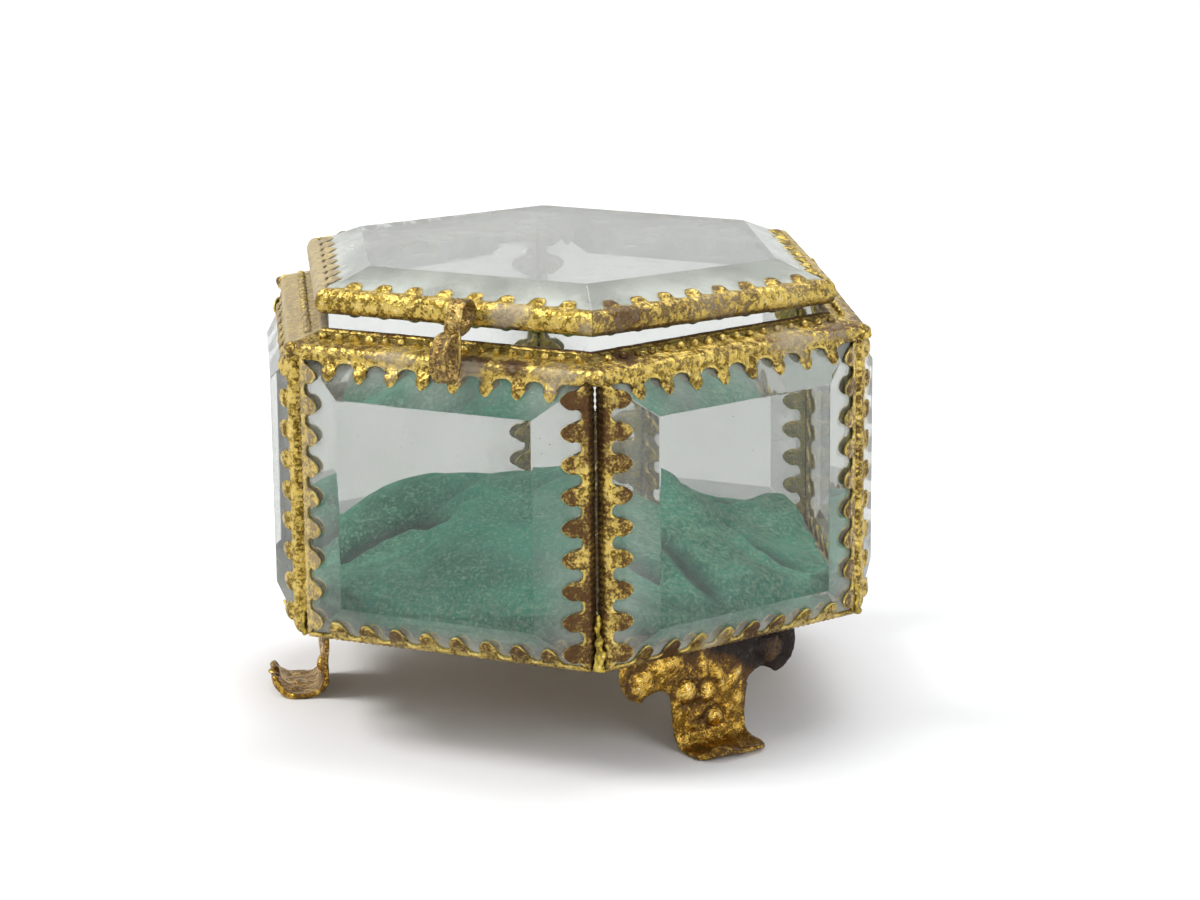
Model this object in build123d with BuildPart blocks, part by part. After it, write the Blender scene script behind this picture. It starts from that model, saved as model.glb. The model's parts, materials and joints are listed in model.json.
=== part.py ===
"""A small six-sided casket of bevelled glass, held in clawed gilt-brass channels.

Six thick bevelled panels stand in U-shaped channels folded from thin sheet. Both legs of
every channel end in a row of claws, which lie over the glass inside and out. A stamped rim
closes the top, a hinged lid of one bevelled glass rests on it, three stamped feet carry the
base, and a silk cushion lies inside. The front face looks along -Y and the hinge is at +Y.
The origin is on the ground, under the middle of the hexagon. Units are millimetres.
"""

from build123d import *
from math import atan, cos, degrees, radians, sin, sqrt, tan
import os

os.makedirs("parts", exist_ok=True)

# Driving dimensions, each written once.
foot_height = 17.8  # ground to the underside of the body
body_apothem = 43.3  # middle of the box to the inner face of the side channels
body_height = 46.5  # side channels, from their underside to the top of the panels' frame
corner_gap = 0.1  # between a channel's back and the corner line

sheet = 0.4  # gilt brass of the channels and the rim
fit_gap = 0.05  # between brass and glass
mitre_gap = 0.03  # at each mitred end of a channel
leg = 1.1  # a channel's leg, before its claws
claw_reach = 3.2
claw_root = 2.8
claw_tip = 1.2
upright_claws = 9
upright_pitch = 5.05
bottom_claws = 8
bottom_pitch = 5.3

glass_edge = 1.8  # side panels at their edges
glass_middle = 5.2
side_bevel = 7.6  # beside the uprights
end_bevel = 5.8  # along the top and bottom

rim_leg = 0.9
rim_claw_reach = 2.6
rim_claws = 8
rim_pitch = 5.45
rim_rise = 3.2  # the cornice above the panels' frame
cornice_lean = 4.4  # from the foot of the cornice's slope in to its top edge
lip_width = 1.0
moulding_height = 1.5
moulding_depth = 1.2
moulding_swell = 0.2  # how far the moulding stands out past the channel

lid_gap = 0.15  # between the closed lid and the rim
lid_overhang = 0.4  # lid's frame past the cornice's top edge
lid_edge = 2.8
lid_middle = 6.2
lid_bevel = 7.85
lid_claws = 8
lid_pitch = 5.3
lid_claw_reach = 2.2
lid_ajar = 1.5  # degrees that the lid stands open at rest

hinge_out = 2.0  # hinge axis behind the lid's frame
hinge_up = 1.1  # hinge axis above the rim
knuckle_radius = 1.2
knuckle_length = 6.0
knuckle_gap = 0.12
hinge_leaf = 0.5
lower_leaf_width = 2.9
upper_leaf_width = 2.8
leaf_gap = 0.3  # between each leaf and what turns past it
pin_radius = 0.55
pin_clearance = 0.05
pin_overhang = 0.4

base_sheet = 0.4
base_gap = 0.05
board_thickness = 1.2
board_gap = 0.3
cushion_edge = 5.4  # height of the cushion's side
cushion_dome = 12.2
cushion_swell = ((1, 0), (0.85, 0.3), (0.6, 0.7), (0.35, 1))  # share of width, share of rise
cushion_gap = 0.7
seat_gap = 0.2  # board on base, and cushion on board

pull_width = 3.1
pull_sheet = 0.7
pull_offset = 2.5  # to the right of the front face's middle
loop_depth = 6.9
loop_height = 5.8
loop_rise = 2.1  # loop's centre above the lid's underside
ring_depth = 4.9
ring_height = 10.5
ring_clearance = 0.55  # between the ring and the rim's moulding
ring_drop = 4.2  # ring's centre below the loop's

foot_inset = 1.7  # outer face of a foot inside the body's inner face
foot_sheet = 0.9
foot_span = 35.2  # over both wings of the bracket
foot_leg = 15.4  # width of the leg where it leaves the bracket
leg_taper = 1.0
wing_end = 2.4  # height of a wing's straight end
wing_drop = 8.4  # lowest point of a wing, below the base
wing_lobe = 4.2  # from a wing's end in to its lowest point
wing_neck = 2.4  # from the leg out to the top of the hollow beside it
wing_hollow = 1.4  # height of that hollow
toe_reach = 8.7  # past the foot's outer face
toe_tip = 7.4
toe_rise = 3.6
toe_curl = 3.6  # length of the toe that curls up
toe_bend = 2.6  # inner radius from leg to toe
boss_radius = 1.9
boss_height = 0.8
boss_side = 50  # degrees that a boss's side leans

solder_height = 9.0
solder_root = 0.4  # from the corner line out to the solder
solder_width = 2.2
solder_top = 0.8

# Worked out from the sizes above.
side_length = 2 * body_apothem * tan(radians(30))
corner_radius = body_apothem / cos(radians(30))
frame_width = side_length - 2 * corner_gap
body_bottom = foot_height
body_top = body_bottom + body_height
glass_inner = body_apothem + sheet + fit_gap
side_slope = atan((glass_middle - glass_edge) / side_bevel)
end_slope = atan((glass_middle - glass_edge) / end_bevel)
lid_slope = atan((lid_middle - lid_edge) / lid_bevel)
channel_depth = 2 * sheet + 2 * fit_gap + glass_edge
moulding_outer = body_apothem + channel_depth + moulding_swell
slope_foot = (moulding_outer - moulding_depth, body_top + moulding_height)
lip_outer = slope_foot[0] - cornice_lean
lip_inner = lip_outer - lip_width
lip_top = body_top + rim_rise
lid_bottom = lip_top + lid_gap
lid_apothem = lip_outer + lid_overhang
lid_length = 2 * lid_apothem * tan(radians(30))
hinge_y = lid_apothem + hinge_out
hinge_z = lip_top + hinge_up
hinge_length = 3 * knuckle_length

FACES = {
    "front": 270,
    "front_right": 330,
    "back_right": 30,
    "back": 90,
    "back_left": 150,
    "front_left": 210,
}
# How far each foot was soldered from the middle of its face, along it.
FOOT_SHIFTS = {"front_left": -1.0, "front_right": -1.6, "back": 0.0}


def face_plane(angle, apothem, height):
    """Upright plane of one face: x along the face, y up and z outwards."""
    turn = radians(angle)
    outward = Vector(cos(turn), sin(turn), 0)
    along = Vector(-sin(turn), cos(turn), 0)
    return Plane(outward * apothem + Vector(0, 0, height), x_dir=along, z_dir=outward)


def side_section(angle):
    """Plane across one face, through its middle: x outwards and y up."""
    turn = radians(angle)
    outward = Vector(cos(turn), sin(turn), 0)
    return Plane((0, 0, 0), x_dir=outward, z_dir=outward.cross(Vector(0, 0, 1)))


def save(part, name):
    """Label one finished piece and write it under its own name."""
    part.label = name
    export_step(part, f"parts/{name}.step")


def row(count, pitch):
    """Places of a row of claws, centred on the middle of the channel."""
    return [((i - (count - 1) / 2) * pitch, 0) for i in range(count)]


def claw_row(plane, places, start, reach):
    """Outlines of the claws of one leg: x of the plane runs along it, y over the glass."""
    outline = (
        (-claw_root / 2, start - sheet),
        (claw_root / 2, start - sheet),
        (claw_root / 2, start),
        (claw_tip / 2, start + reach),
        (-claw_tip / 2, start + reach),
        (-claw_root / 2, start),
    )
    with BuildSketch(plane) as claws:
        with Locations(*places):
            Polygon(*outline, align=None)
    return claws.sketch


def channel_shape(length, edge, slope, width, mitre, places, reach):
    """A U channel round a glass edge: x along it, y from its back over the glass, z outwards.

    The inner leg is flat and the outer one leans along the glass's bevel. The ends are
    mitred before the claws are added, so that a claw near the corner stays whole.
    """
    bend = 2 * fit_gap + edge + sheet
    rise = (width - sheet) * tan(slope)
    with BuildPart() as shape:
        with BuildSketch(Plane.YZ):
            Polygon(
                (0, 0),
                (width, 0),
                (width, sheet),
                (sheet, sheet),
                (sheet, bend),
                (width, bend + rise),
                (width - sheet * sin(slope), bend + rise + sheet * cos(slope)),
                (0, bend + sheet * (1 - sin(slope)) / cos(slope)),
                align=None,
            )
        extrude(amount=length / 2, both=True)
        for end in (-1, 1):
            cut = Plane(
                (end * (length / 2 - mitre_gap), 0, 0),
                x_dir=(0, 0, 1),
                z_dir=(-end * cos(mitre), -sin(mitre), 0),
            )
            split(bisect_by=cut, keep=Keep.TOP)
        extrude(claw_row(Plane.XY, places, width, reach), amount=sheet)
        lean = Plane((0, sheet, bend), x_dir=(1, 0, 0), z_dir=(0, -sin(slope), cos(slope)))
        extrude(claw_row(lean, places, (width - sheet) / cos(slope), reach), amount=sheet)
    return shape.part


# Side panels: a flat back, thin edges and a raised middle inside a wide bevel.
glass_width = frame_width - 2 * (sheet + fit_gap)
glass_height = body_height - 2 * (sheet + fit_gap)
body_middle = body_bottom + body_height / 2
for face, angle in FACES.items():
    back_of_glass = face_plane(angle, glass_inner, body_middle)
    with BuildPart() as panel:
        with BuildSketch(back_of_glass):
            Rectangle(glass_width, glass_height)
        extrude(amount=glass_edge)
        with BuildSketch(back_of_glass.offset(glass_edge)):
            Rectangle(glass_width, glass_height)
        with BuildSketch(back_of_glass.offset(glass_middle)):
            Rectangle(glass_width - 2 * side_bevel, glass_height - 2 * end_bevel)
        loft()
    save(panel.part, f"{face}_glass")

# Channels at the two ends and along the bottom of every panel.
upright = channel_shape(
    body_height,
    glass_edge,
    side_slope,
    leg,
    radians(45),
    row(upright_claws, upright_pitch),
    claw_reach,
)
bottom = channel_shape(
    frame_width,
    glass_edge,
    end_slope,
    leg,
    radians(45),
    row(bottom_claws, bottom_pitch),
    claw_reach,
)
for face, angle in FACES.items():
    middle = face_plane(angle, body_apothem, body_middle)
    for end, name in ((-1, "left"), (1, "right")):
        place = Plane(
            middle.origin + middle.x_dir * (end * frame_width / 2),
            x_dir=middle.y_dir * end,
            z_dir=middle.z_dir,
        )
        with BuildPart() as piece:
            with Locations(place):
                add(upright)
        save(piece.part, f"{face}_upright_{name}")
    with BuildPart() as piece:
        with Locations(face_plane(angle, body_apothem, body_bottom)):
            add(bottom)
    save(piece.part, f"{face}_bottom_channel")

# Rim: a clawed channel over the panel's top, with a moulding and a cornice leaning inwards.
rim_channel = channel_shape(
    frame_width,
    glass_edge,
    end_slope,
    rim_leg,
    radians(45),
    row(rim_claws, rim_pitch),
    rim_claw_reach,
)
with BuildPart() as cornice:
    with BuildSketch(side_section(90)):
        with BuildLine():
            moulding = ThreePointArc(
                (body_apothem + channel_depth - sheet, body_top),
                (moulding_outer, body_top + moulding_height * 0.6),
                slope_foot,
            )
            Polyline(
                moulding @ 1,
                (lip_outer, lip_top),
                (lip_inner, lip_top),
                (lip_inner, lip_top - sheet),
                (lip_outer, lip_top - sheet),
                (body_apothem, body_top + moulding_height),
                (body_apothem, body_top),
                moulding @ 0,
            )
        make_face()
    extrude(amount=side_length, both=True)
    for side in (-1, 1):
        corner = radians(90 - side * 30)
        inward = Vector(-side * sin(corner), side * cos(corner), 0)
        split(bisect_by=Plane(inward * mitre_gap, x_dir=(0, 0, 1), z_dir=inward), keep=Keep.TOP)
for face, angle in FACES.items():
    top = face_plane(angle, body_apothem, body_top)
    with BuildPart() as rim:
        add(cornice.part, rotation=(0, 0, angle - 90))
        with Locations(Plane(top.origin, x_dir=-top.x_dir, z_dir=top.z_dir)):
            add(rim_channel)
    save(rim.part, f"{face}_rim")

# The lid is made closed, then stands a little open on its hinge, as the box is usually seen.
hinge_axis = Pos(0, hinge_y, hinge_z)
lid_place = hinge_axis * Rot(-lid_ajar, 0, 0) * hinge_axis.inverse()

# Lid glass: a thick hexagon with one wide bevel and a raised middle.
glass_apothem = lid_apothem - sheet - fit_gap
with BuildPart() as lid_glass:
    with BuildSketch(Plane.XY.offset(lid_bottom + sheet + fit_gap)):
        RegularPolygon(glass_apothem, 6, major_radius=False)
    extrude(amount=lid_edge)
    with BuildSketch(Plane.XY.offset(lid_bottom + sheet + fit_gap + lid_edge)):
        RegularPolygon(glass_apothem, 6, major_radius=False)
    with BuildSketch(Plane.XY.offset(lid_bottom + sheet + fit_gap + lid_middle)):
        RegularPolygon(glass_apothem - lid_bevel, 6, major_radius=False)
    loft()
with BuildPart() as piece:
    with Locations(lid_place):
        add(lid_glass.part)
save(piece.part, "lid_glass")

# Lid channels, mitred to each other at the six corners.
lid_channel = channel_shape(
    lid_length,
    lid_edge,
    lid_slope,
    leg,
    radians(30),
    row(lid_claws, lid_pitch),
    lid_claw_reach,
)
for face, angle in FACES.items():
    edge = face_plane(angle, lid_apothem, lid_bottom)
    with BuildPart() as piece:
        with Locations(lid_place * Plane(edge.origin, x_dir=edge.x_dir, z_dir=(0, 0, 1)).location):
            add(lid_channel)
    save(piece.part, f"lid_{face}_channel")

# Pull: a strip bent into a loop on the lid's frame and a ring that hangs before the rim.
pull_plane = Plane((pull_offset, 0, 0), x_dir=(0, -1, 0), z_dir=(-1, 0, 0))
loop_centre = (lid_apothem + loop_depth / 2 - pull_sheet / 4, lid_bottom + loop_rise)
ring_back = moulding_outer + ring_clearance
ring_centre = (ring_back + ring_depth / 2, loop_centre[1] - ring_drop)
with BuildPart() as pull:
    with BuildSketch(pull_plane):
        with Locations(loop_centre):
            Ellipse(loop_depth / 2, loop_height / 2)
        with Locations(ring_centre):
            Ellipse(ring_depth / 2, ring_height / 2)
        with Locations(loop_centre):
            Ellipse(loop_depth / 2 - pull_sheet, loop_height / 2 - pull_sheet, mode=Mode.SUBTRACT)
        with Locations(ring_centre):
            Ellipse(ring_depth / 2 - pull_sheet, ring_height / 2 - pull_sheet, mode=Mode.SUBTRACT)
    extrude(amount=pull_width / 2, both=True)
    split(bisect_by=Plane((0, -lid_apothem, 0), x_dir=(1, 0, 0), z_dir=(0, -1, 0)), keep=Keep.TOP)
with BuildPart() as piece:
    with Locations(lid_place):
        add(pull.part)
save(piece.part, "pull")

# Hinge: the lower leaf lies on the cornice's slope, the upper one on the lid's back channel.
cornice_run = Vector(0, slope_foot[0] - lip_outer, slope_foot[1] - lip_top).normalized()
cornice_plane = Plane((0, lip_outer, lip_top), x_dir=cornice_run, z_dir=(1, 0, 0))
axis_on_slope = cornice_plane.to_local_coords(Vector(0, hinge_y, hinge_z))
leaf_start = (lid_apothem + leaf_gap - lip_outer) / cornice_run.Y
bore_radius = pin_radius + pin_clearance
knuckle_span = knuckle_length - knuckle_gap
with BuildPart() as lower_leaf:
    with BuildSketch(cornice_plane):
        with Locations((leaf_start, 0)):
            Rectangle(lower_leaf_width, hinge_leaf, align=(Align.MIN, Align.MIN))
    extrude(amount=hinge_length / 2, both=True)
    for side in (-1, 1):
        with BuildSketch(cornice_plane.offset(side * knuckle_length - knuckle_span / 2)):
            with Locations((axis_on_slope.X, axis_on_slope.Y)):
                Circle(knuckle_radius)
            with Locations((axis_on_slope.X, 0)):
                Rectangle(knuckle_radius, axis_on_slope.Y, align=(Align.CENTER, Align.MIN))
            with Locations((axis_on_slope.X, axis_on_slope.Y)):
                Circle(bore_radius, mode=Mode.SUBTRACT)
        extrude(amount=knuckle_span)
save(lower_leaf.part, "hinge_lower_leaf")

across_hinge = side_section(90)
upper_start = lid_bottom + 1.5 * leaf_gap
with BuildPart() as upper_leaf:
    with BuildSketch(across_hinge):
        with Locations((lid_apothem, upper_start)):
            Rectangle(hinge_leaf, upper_leaf_width, align=(Align.MIN, Align.MIN))
    extrude(amount=hinge_length / 2, both=True)
    with BuildSketch(across_hinge):
        with Locations((hinge_y, hinge_z)):
            Circle(knuckle_radius)
        with Locations((lid_apothem, hinge_z)):
            Rectangle(hinge_out, knuckle_radius, align=(Align.MIN, Align.CENTER))
        with Locations((hinge_y, hinge_z)):
            Circle(bore_radius, mode=Mode.SUBTRACT)
    extrude(amount=knuckle_span / 2, both=True)
with BuildPart() as piece:
    with Locations(lid_place):
        add(upper_leaf.part)
save(piece.part, "hinge_upper_leaf")

pin_length = hinge_length + 2 * pin_overhang
with BuildPart() as pin:
    with BuildSketch(across_hinge.offset(-pin_length / 2)):
        with Locations((hinge_y, hinge_z)):
            Circle(pin_radius)
    extrude(amount=pin_length)
    chamfer(pin.edges().filter_by(GeomType.CIRCLE), pin_radius / 4)
save(pin.part, "hinge_pin")

# Base sheet inside the bottom channels, the card on it, and the domed cushion on the card.
with BuildPart() as base:
    with BuildSketch(Plane.XY.offset(body_bottom)):
        RegularPolygon(body_apothem - base_gap, 6, major_radius=False)
    extrude(amount=base_sheet)
save(base.part, "base_plate")

board_bottom = body_bottom + base_sheet + seat_gap
with BuildPart() as board:
    with BuildSketch(Plane.XY.offset(board_bottom)):
        RegularPolygon(body_apothem - board_gap, 6, major_radius=False)
    extrude(amount=board_thickness)
save(board.part, "cushion_board")

cushion_bottom = board_bottom + board_thickness + seat_gap
cushion_apothem = body_apothem - cushion_gap
cushion_rise = cushion_dome - cushion_edge
with BuildPart() as cushion:
    with BuildSketch(Plane.XY.offset(cushion_bottom)):
        RegularPolygon(cushion_apothem, 6, major_radius=False)
    for width_share, rise_share in cushion_swell:
        lift = cushion_edge + cushion_rise * rise_share
        with BuildSketch(Plane.XY.offset(cushion_bottom + lift)):
            RegularPolygon(cushion_apothem * width_share, 6, major_radius=False)
    loft(ruled=True)
save(cushion.part, "cushion")

# Feet: stamped sheet, with a winged bracket under the base, a leg and a toe curled outwards.
leg_face = body_apothem - foot_inset
leg_back = leg_face - foot_sheet
outer_radius = toe_bend + foot_sheet
sole_start = leg_back + outer_radius
toe_end = leg_face + toe_reach
curl_start = toe_end - toe_curl
waist = foot_leg / 2
half_span = foot_span / 2
with BuildPart() as foot:
    # Side profile: down the leg, round the bend, along the sole and up the curled tip.
    with BuildSketch(side_section(FACES["front"])):
        with BuildLine():
            under_bend = RadiusArc((leg_back, outer_radius), (sole_start, 0), -outer_radius)
            under_curl = ThreePointArc(
                (curl_start, 0),
                (curl_start + 0.7 * toe_curl, toe_rise / 4),
                (toe_end, toe_rise - foot_sheet / 2),
            )
            over_curl = ThreePointArc(
                (toe_end - foot_sheet, toe_rise),
                (curl_start + 0.45 * toe_curl, toe_rise / 4 + foot_sheet),
                (curl_start, foot_sheet),
            )
            over_bend = RadiusArc((sole_start, foot_sheet), (leg_face, outer_radius), toe_bend)
            Polyline(over_bend @ 1, (leg_face, foot_height), (leg_back, foot_height), under_bend @ 0)
            Line(under_bend @ 1, under_curl @ 0)
            Line(under_curl @ 1, over_curl @ 0)
            Line(over_curl @ 1, over_bend @ 0)
        make_face()
    extrude(amount=foot_span, both=True)
    # Front outline: two lobed wings and the leg between them.
    with BuildSketch(Plane.XZ):
        with BuildLine():
            lobe = ThreePointArc(
                (half_span, foot_height - wing_end),
                (half_span - 0.3 * wing_lobe, foot_height - 0.8 * wing_drop),
                (half_span - wing_lobe, foot_height - wing_drop),
            )
            hollow = ThreePointArc(
                lobe @ 1,
                (waist + wing_neck, foot_height - wing_drop + wing_hollow),
                (waist, foot_height - wing_drop),
            )
            Line((0, foot_height), (half_span, foot_height))
            Line((half_span, foot_height), lobe @ 0)
            side = Line(hollow @ 1, (waist - leg_taper, 0))
            Line(side @ 1, (0, 0))
            mirror(about=Plane.YZ)
        make_face()
    extrude(amount=toe_end + foot_sheet, mode=Mode.INTERSECT)
    # Plan: the toe narrows to its tip, and the wings stay whole.
    with BuildSketch(Plane.XY):
        with BuildLine():
            toe_side = ThreePointArc(
                (waist, -leg_face - foot_sheet),
                (waist / 2 + toe_tip / 3, -leg_face - 0.7 * toe_reach),
                (toe_tip / 2, -toe_end),
            )
            Polyline(
                (0, foot_sheet - leg_back),
                (half_span, foot_sheet - leg_back),
                (half_span, -leg_face - foot_sheet),
                toe_side @ 0,
            )
            Line(toe_side @ 1, (0, -toe_end))
            mirror(about=Plane.YZ)
        make_face()
    extrude(amount=foot_height, mode=Mode.INTERSECT)
    with BuildSketch(Plane.XZ.offset(leg_face)):
        with Locations((-0.3 * waist, 0.68 * foot_height), (0.12 * waist, 0.45 * foot_height)):
            Circle(boss_radius)
    extrude(amount=boss_height, taper=boss_side)
for face, shift in FOOT_SHIFTS.items():
    with BuildPart() as piece:
        with Locations(Rot(0, 0, FACES[face] - FACES["front"]) * Pos(shift, 0, 0)):
            add(foot.part)
    save(piece.part, f"{face}_foot")

# Solder that fills the foot of the groove between two channels, at each corner.
groove_start = corner_radius + solder_root
groove_share = 0.85 * tan(radians(30))
with BuildPart() as solder:
    for lift, width in ((0, solder_width), (solder_height, solder_top)):
        with BuildSketch(Plane.XY.offset(body_bottom + lift)):
            Polygon(
                (groove_start, 0),
                (groove_start + width, width * groove_share),
                (groove_start + width, -width * groove_share),
                align=None,
            )
    loft()
with BuildPart() as solders:
    with PolarLocations(0, len(FACES)):
        add(solder.part)
save(solders.part, "corner_solder")
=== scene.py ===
"""Finish of a small six-sided casket of bevelled glass in stamped gilt brass.

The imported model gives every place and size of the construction. This script dresses it: it
bevels and dusts the glass, turns the flat channels into stamped and clawed strips, beads the
rim, reeds the pull, stamps the feet, lets solder run in the corners and pads the silk
cushion. It is laid out as an add-on whose operators build the pieces one after another.
"""

import json
import math

import bmesh
import bpy
import numpy as np
from mathutils import Matrix, Vector, noise


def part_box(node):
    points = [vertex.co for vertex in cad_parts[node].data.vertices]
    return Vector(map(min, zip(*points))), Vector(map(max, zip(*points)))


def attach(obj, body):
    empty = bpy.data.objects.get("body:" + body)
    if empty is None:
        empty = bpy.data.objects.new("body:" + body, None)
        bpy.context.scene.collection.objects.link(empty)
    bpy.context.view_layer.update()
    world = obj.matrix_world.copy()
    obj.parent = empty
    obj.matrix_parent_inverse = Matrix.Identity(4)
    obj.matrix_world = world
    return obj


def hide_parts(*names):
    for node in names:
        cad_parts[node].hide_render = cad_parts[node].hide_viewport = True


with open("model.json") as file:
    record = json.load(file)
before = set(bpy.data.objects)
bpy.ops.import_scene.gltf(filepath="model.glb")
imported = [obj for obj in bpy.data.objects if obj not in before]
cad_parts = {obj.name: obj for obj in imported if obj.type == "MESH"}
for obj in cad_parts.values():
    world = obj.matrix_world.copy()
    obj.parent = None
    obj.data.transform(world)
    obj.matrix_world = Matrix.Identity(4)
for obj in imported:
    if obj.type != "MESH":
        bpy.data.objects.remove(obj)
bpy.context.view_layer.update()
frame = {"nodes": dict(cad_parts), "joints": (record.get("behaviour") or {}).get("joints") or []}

bl_info = {
    "name": "Bevelled glass casket",
    "version": (1, 0, 0),
    "blender": (4, 5, 0),
    "location": "3D View > Sidebar > Casket",
    "description": "Dresses a glass casket in worn gilding, bevelled glass and silk",
    "category": "Object",
}

MM = 0.001
FACES = {
    "front": 270,
    "front_right": 330,
    "back_right": 30,
    "back": 90,
    "back_left": 150,
    "front_left": 210,
}
FOOT_FACES = ("front_left", "front_right", "back")
HINGE = next(joint for joint in frame["joints"] if joint["name"] == "lid_hinge")
HINGE_AT = Vector(HINGE["pos_m"])
AJAR = math.radians(-HINGE["range_deg"][0])
LID_PLACE = (
    Matrix.Translation(HINGE_AT)
    @ Matrix.Rotation(-AJAR, 4, "X")
    @ Matrix.Translation(-HINGE_AT)
)


# ---------------------------------------------------------------- sizes from the frame


def points_of(piece, what="co"):
    """A piece's points, or their normals, as rows of x, y and z."""
    flat = np.zeros(len(piece.data.vertices) * 3, np.float32)
    piece.data.vertices.foreach_get(what, flat)
    return flat.reshape(-1, 3).astype(float)


def cad_points(name):
    """Every vertex of one CAD node, in metres."""
    return points_of(frame["nodes"][name])


def side_pane():
    """Depths and bevels of the front panel: they are the same on all six."""
    points = cad_points("front_glass")
    outward = -points[:, 1]
    inner, outer = outward.min(), outward.max()
    flat = points[outward > outer - 0.02 * MM]
    half = points[:, 0].max()
    shoulder = outward[points[:, 0] > half - 0.02 * MM].max()
    top, bottom = points[:, 2].max(), points[:, 2].min()
    return {
        "inner": inner,
        "edge": shoulder - inner,
        "middle": outer - inner,
        "half": half,
        "bottom": bottom,
        "top": top,
        "side_bevel": half - flat[:, 0].max(),
        "end_bevel": top - flat[:, 2].max(),
    }


def lid_pane():
    """Heights and bevel of the lid's glass while the lid is closed."""
    points = cad_points("lid_glass")
    back = np.array(LID_PLACE.inverted())
    closed = points @ back[:3, :3].T + back[:3, 3]
    under, top = closed[:, 2].min(), closed[:, 2].max()
    flat = closed[closed[:, 2] > top - 0.02 * MM]
    apothem = -closed[:, 1].min()
    shoulder = closed[closed[:, 1] < -apothem + 0.02 * MM][:, 2].max()
    return {
        "under": under,
        "edge": shoulder - under,
        "middle": top - under,
        "apothem": apothem,
        "bevel": apothem + flat[:, 1].min(),
    }


PANE = side_pane()
LID_PANE = lid_pane()
BODY_APOTHEM = -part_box("front_bottom_channel")[1].y
BODY_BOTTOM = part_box("front_bottom_channel")[0].z
RIM_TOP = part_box("front_rim")[1].z
SIDE_SLOPE = math.atan((PANE["middle"] - PANE["edge"]) / PANE["side_bevel"])
END_SLOPE = math.atan((PANE["middle"] - PANE["edge"]) / PANE["end_bevel"])
LID_SLOPE = math.atan((LID_PANE["middle"] - LID_PANE["edge"]) / LID_PANE["bevel"])
TAN_30 = math.tan(math.radians(30))
COS_30 = math.cos(math.radians(30))
UP = Vector((0, 0, 1))


# ---------------------------------------------------------------- what a user may change


def length(name, millimetres, description):
    """A size in the panel, given in millimetres and kept in metres."""
    return bpy.props.FloatProperty(
        name=name,
        description=description,
        default=millimetres * MM,
        min=0.0,
        unit="LENGTH",
        subtype="DISTANCE",
        precision=5,
    )


def tint(name, code, description):
    """A colour in the panel, from its sRGB hex code."""
    return bpy.props.FloatVectorProperty(
        name=name,
        description=description,
        default=linear(code),
        min=0.0,
        max=1.0,
        size=4,
        subtype="COLOR",
    )


def linear(code):
    """The linear RGBA of an sRGB hex code."""
    parts = [int(code[i : i + 2], 16) / 255 for i in (1, 3, 5)]
    return [p / 12.92 if p <= 0.04045 else ((p + 0.055) / 1.055) ** 2.4 for p in parts] + [1.0]


def number(name, value, description):
    """A count in the panel."""
    return bpy.props.IntProperty(name=name, description=description, default=value, min=1)


class CasketSizes(bpy.types.PropertyGroup):
    """Sizes of the stamped strip and the other fittings"""

    sheet: length("Sheet", 0.4, "Thickness of the stamped brass")
    fit_gap: length("Fit gap", 0.05, "Clearance between brass and glass")
    leg: length("Leg", 1.0, "How far a channel reaches over its glass before the claws")
    claw_reach: length("Claw reach", 3.2, "Length of a claw")
    claw_root: length("Claw root", 2.8, "Width of a claw where it leaves the leg")
    lid_claw_reach: length("Lid claw reach", 2.7, "Length of a claw on the lid")
    rim_claw_reach: length("Rim claw reach", 3.0, "Length of a claw on the rim")
    rim_claw_root: length("Rim claw root", 2.0, "Width of a rim claw where it leaves the leg")
    upright_pitch: length("Upright claw pitch", 5.05, "From claw to claw on the uprights")
    bottom_pitch: length("Bottom claw pitch", 5.3, "From claw to claw along the bottom")
    rim_pitch: length("Rim claw pitch", 5.45, "From claw to claw along the rim")
    scallop: length("Scallop", 1.0, "Depth of the round hollow between two claws")
    ridge: length("Ridge", 0.14, "Height of the fine ridges across the strip")
    mitre_gap: length("Mitre gap", 0.03, "Gap at each mitred corner")
    bead_radius: length("Bead radius", 0.72, "Radius of the beads along the rim")
    bead_pitch: length("Bead pitch", 2.75, "From bead to bead along the rim")
    arris: length("Arris", 0.14, "Width of the ground edges of the glass")
    pull_width: length("Pull width", 3.1, "Width of the reeded strip of the pull")
    reed_pitch: length("Reed pitch", 0.62, "From reed to reed along the pull")
    claws_upright: number("Upright claws", 9, "Claws on each upright")
    claws_across: number("Claws along an edge", 8, "Claws on each level channel")
    beads: number("Beads", 17, "Beads on each side of the rim")


class CasketColours(bpy.types.PropertyGroup):
    """Colours of the worn gilding, the glass and the silk"""

    gold: tint("Gold", "#CDB25C", "Gilding where it is rubbed bright")
    # Pale colour of the painted highlights on scattered grains of the gilding.
    rubbed: tint("Rubbed gold", "#F3E6AC", "Gilding on the highest grains")
    old_gold: tint("Old gold", "#86702F", "Gilding that has dulled")
    brown: tint("Brown patina", "#543A1C", "Brass browned where the gilding is gone")
    black: tint("Black patina", "#231A15", "The darkest tarnish")
    dust: tint("Dust", "#A0937A", "Dust and wax in the hollows")
    glass: tint("Glass", "#D4D6D3", "The faint grey-green of old soda glass")
    haze: tint("Haze", "#B6BAB3", "Dust on the glass")
    silk: tint("Silk", "#0C5E4A", "Silk where it kept its dye")
    faded_silk: tint("Faded silk", "#2B8670", "Silk that has faded under dust")
    solder: tint("Solder", "#BFA544", "Gilded solder in the corners")
    lead: tint("Bare solder", "#57513F", "Solder that was never gilded")
    card: tint("Card", "#B9A88A", "Card under the cushion")
    floor: tint("Floor", "#E4E4E5", "The pale floor")


# ---------------------------------------------------------------- nodes and materials


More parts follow.
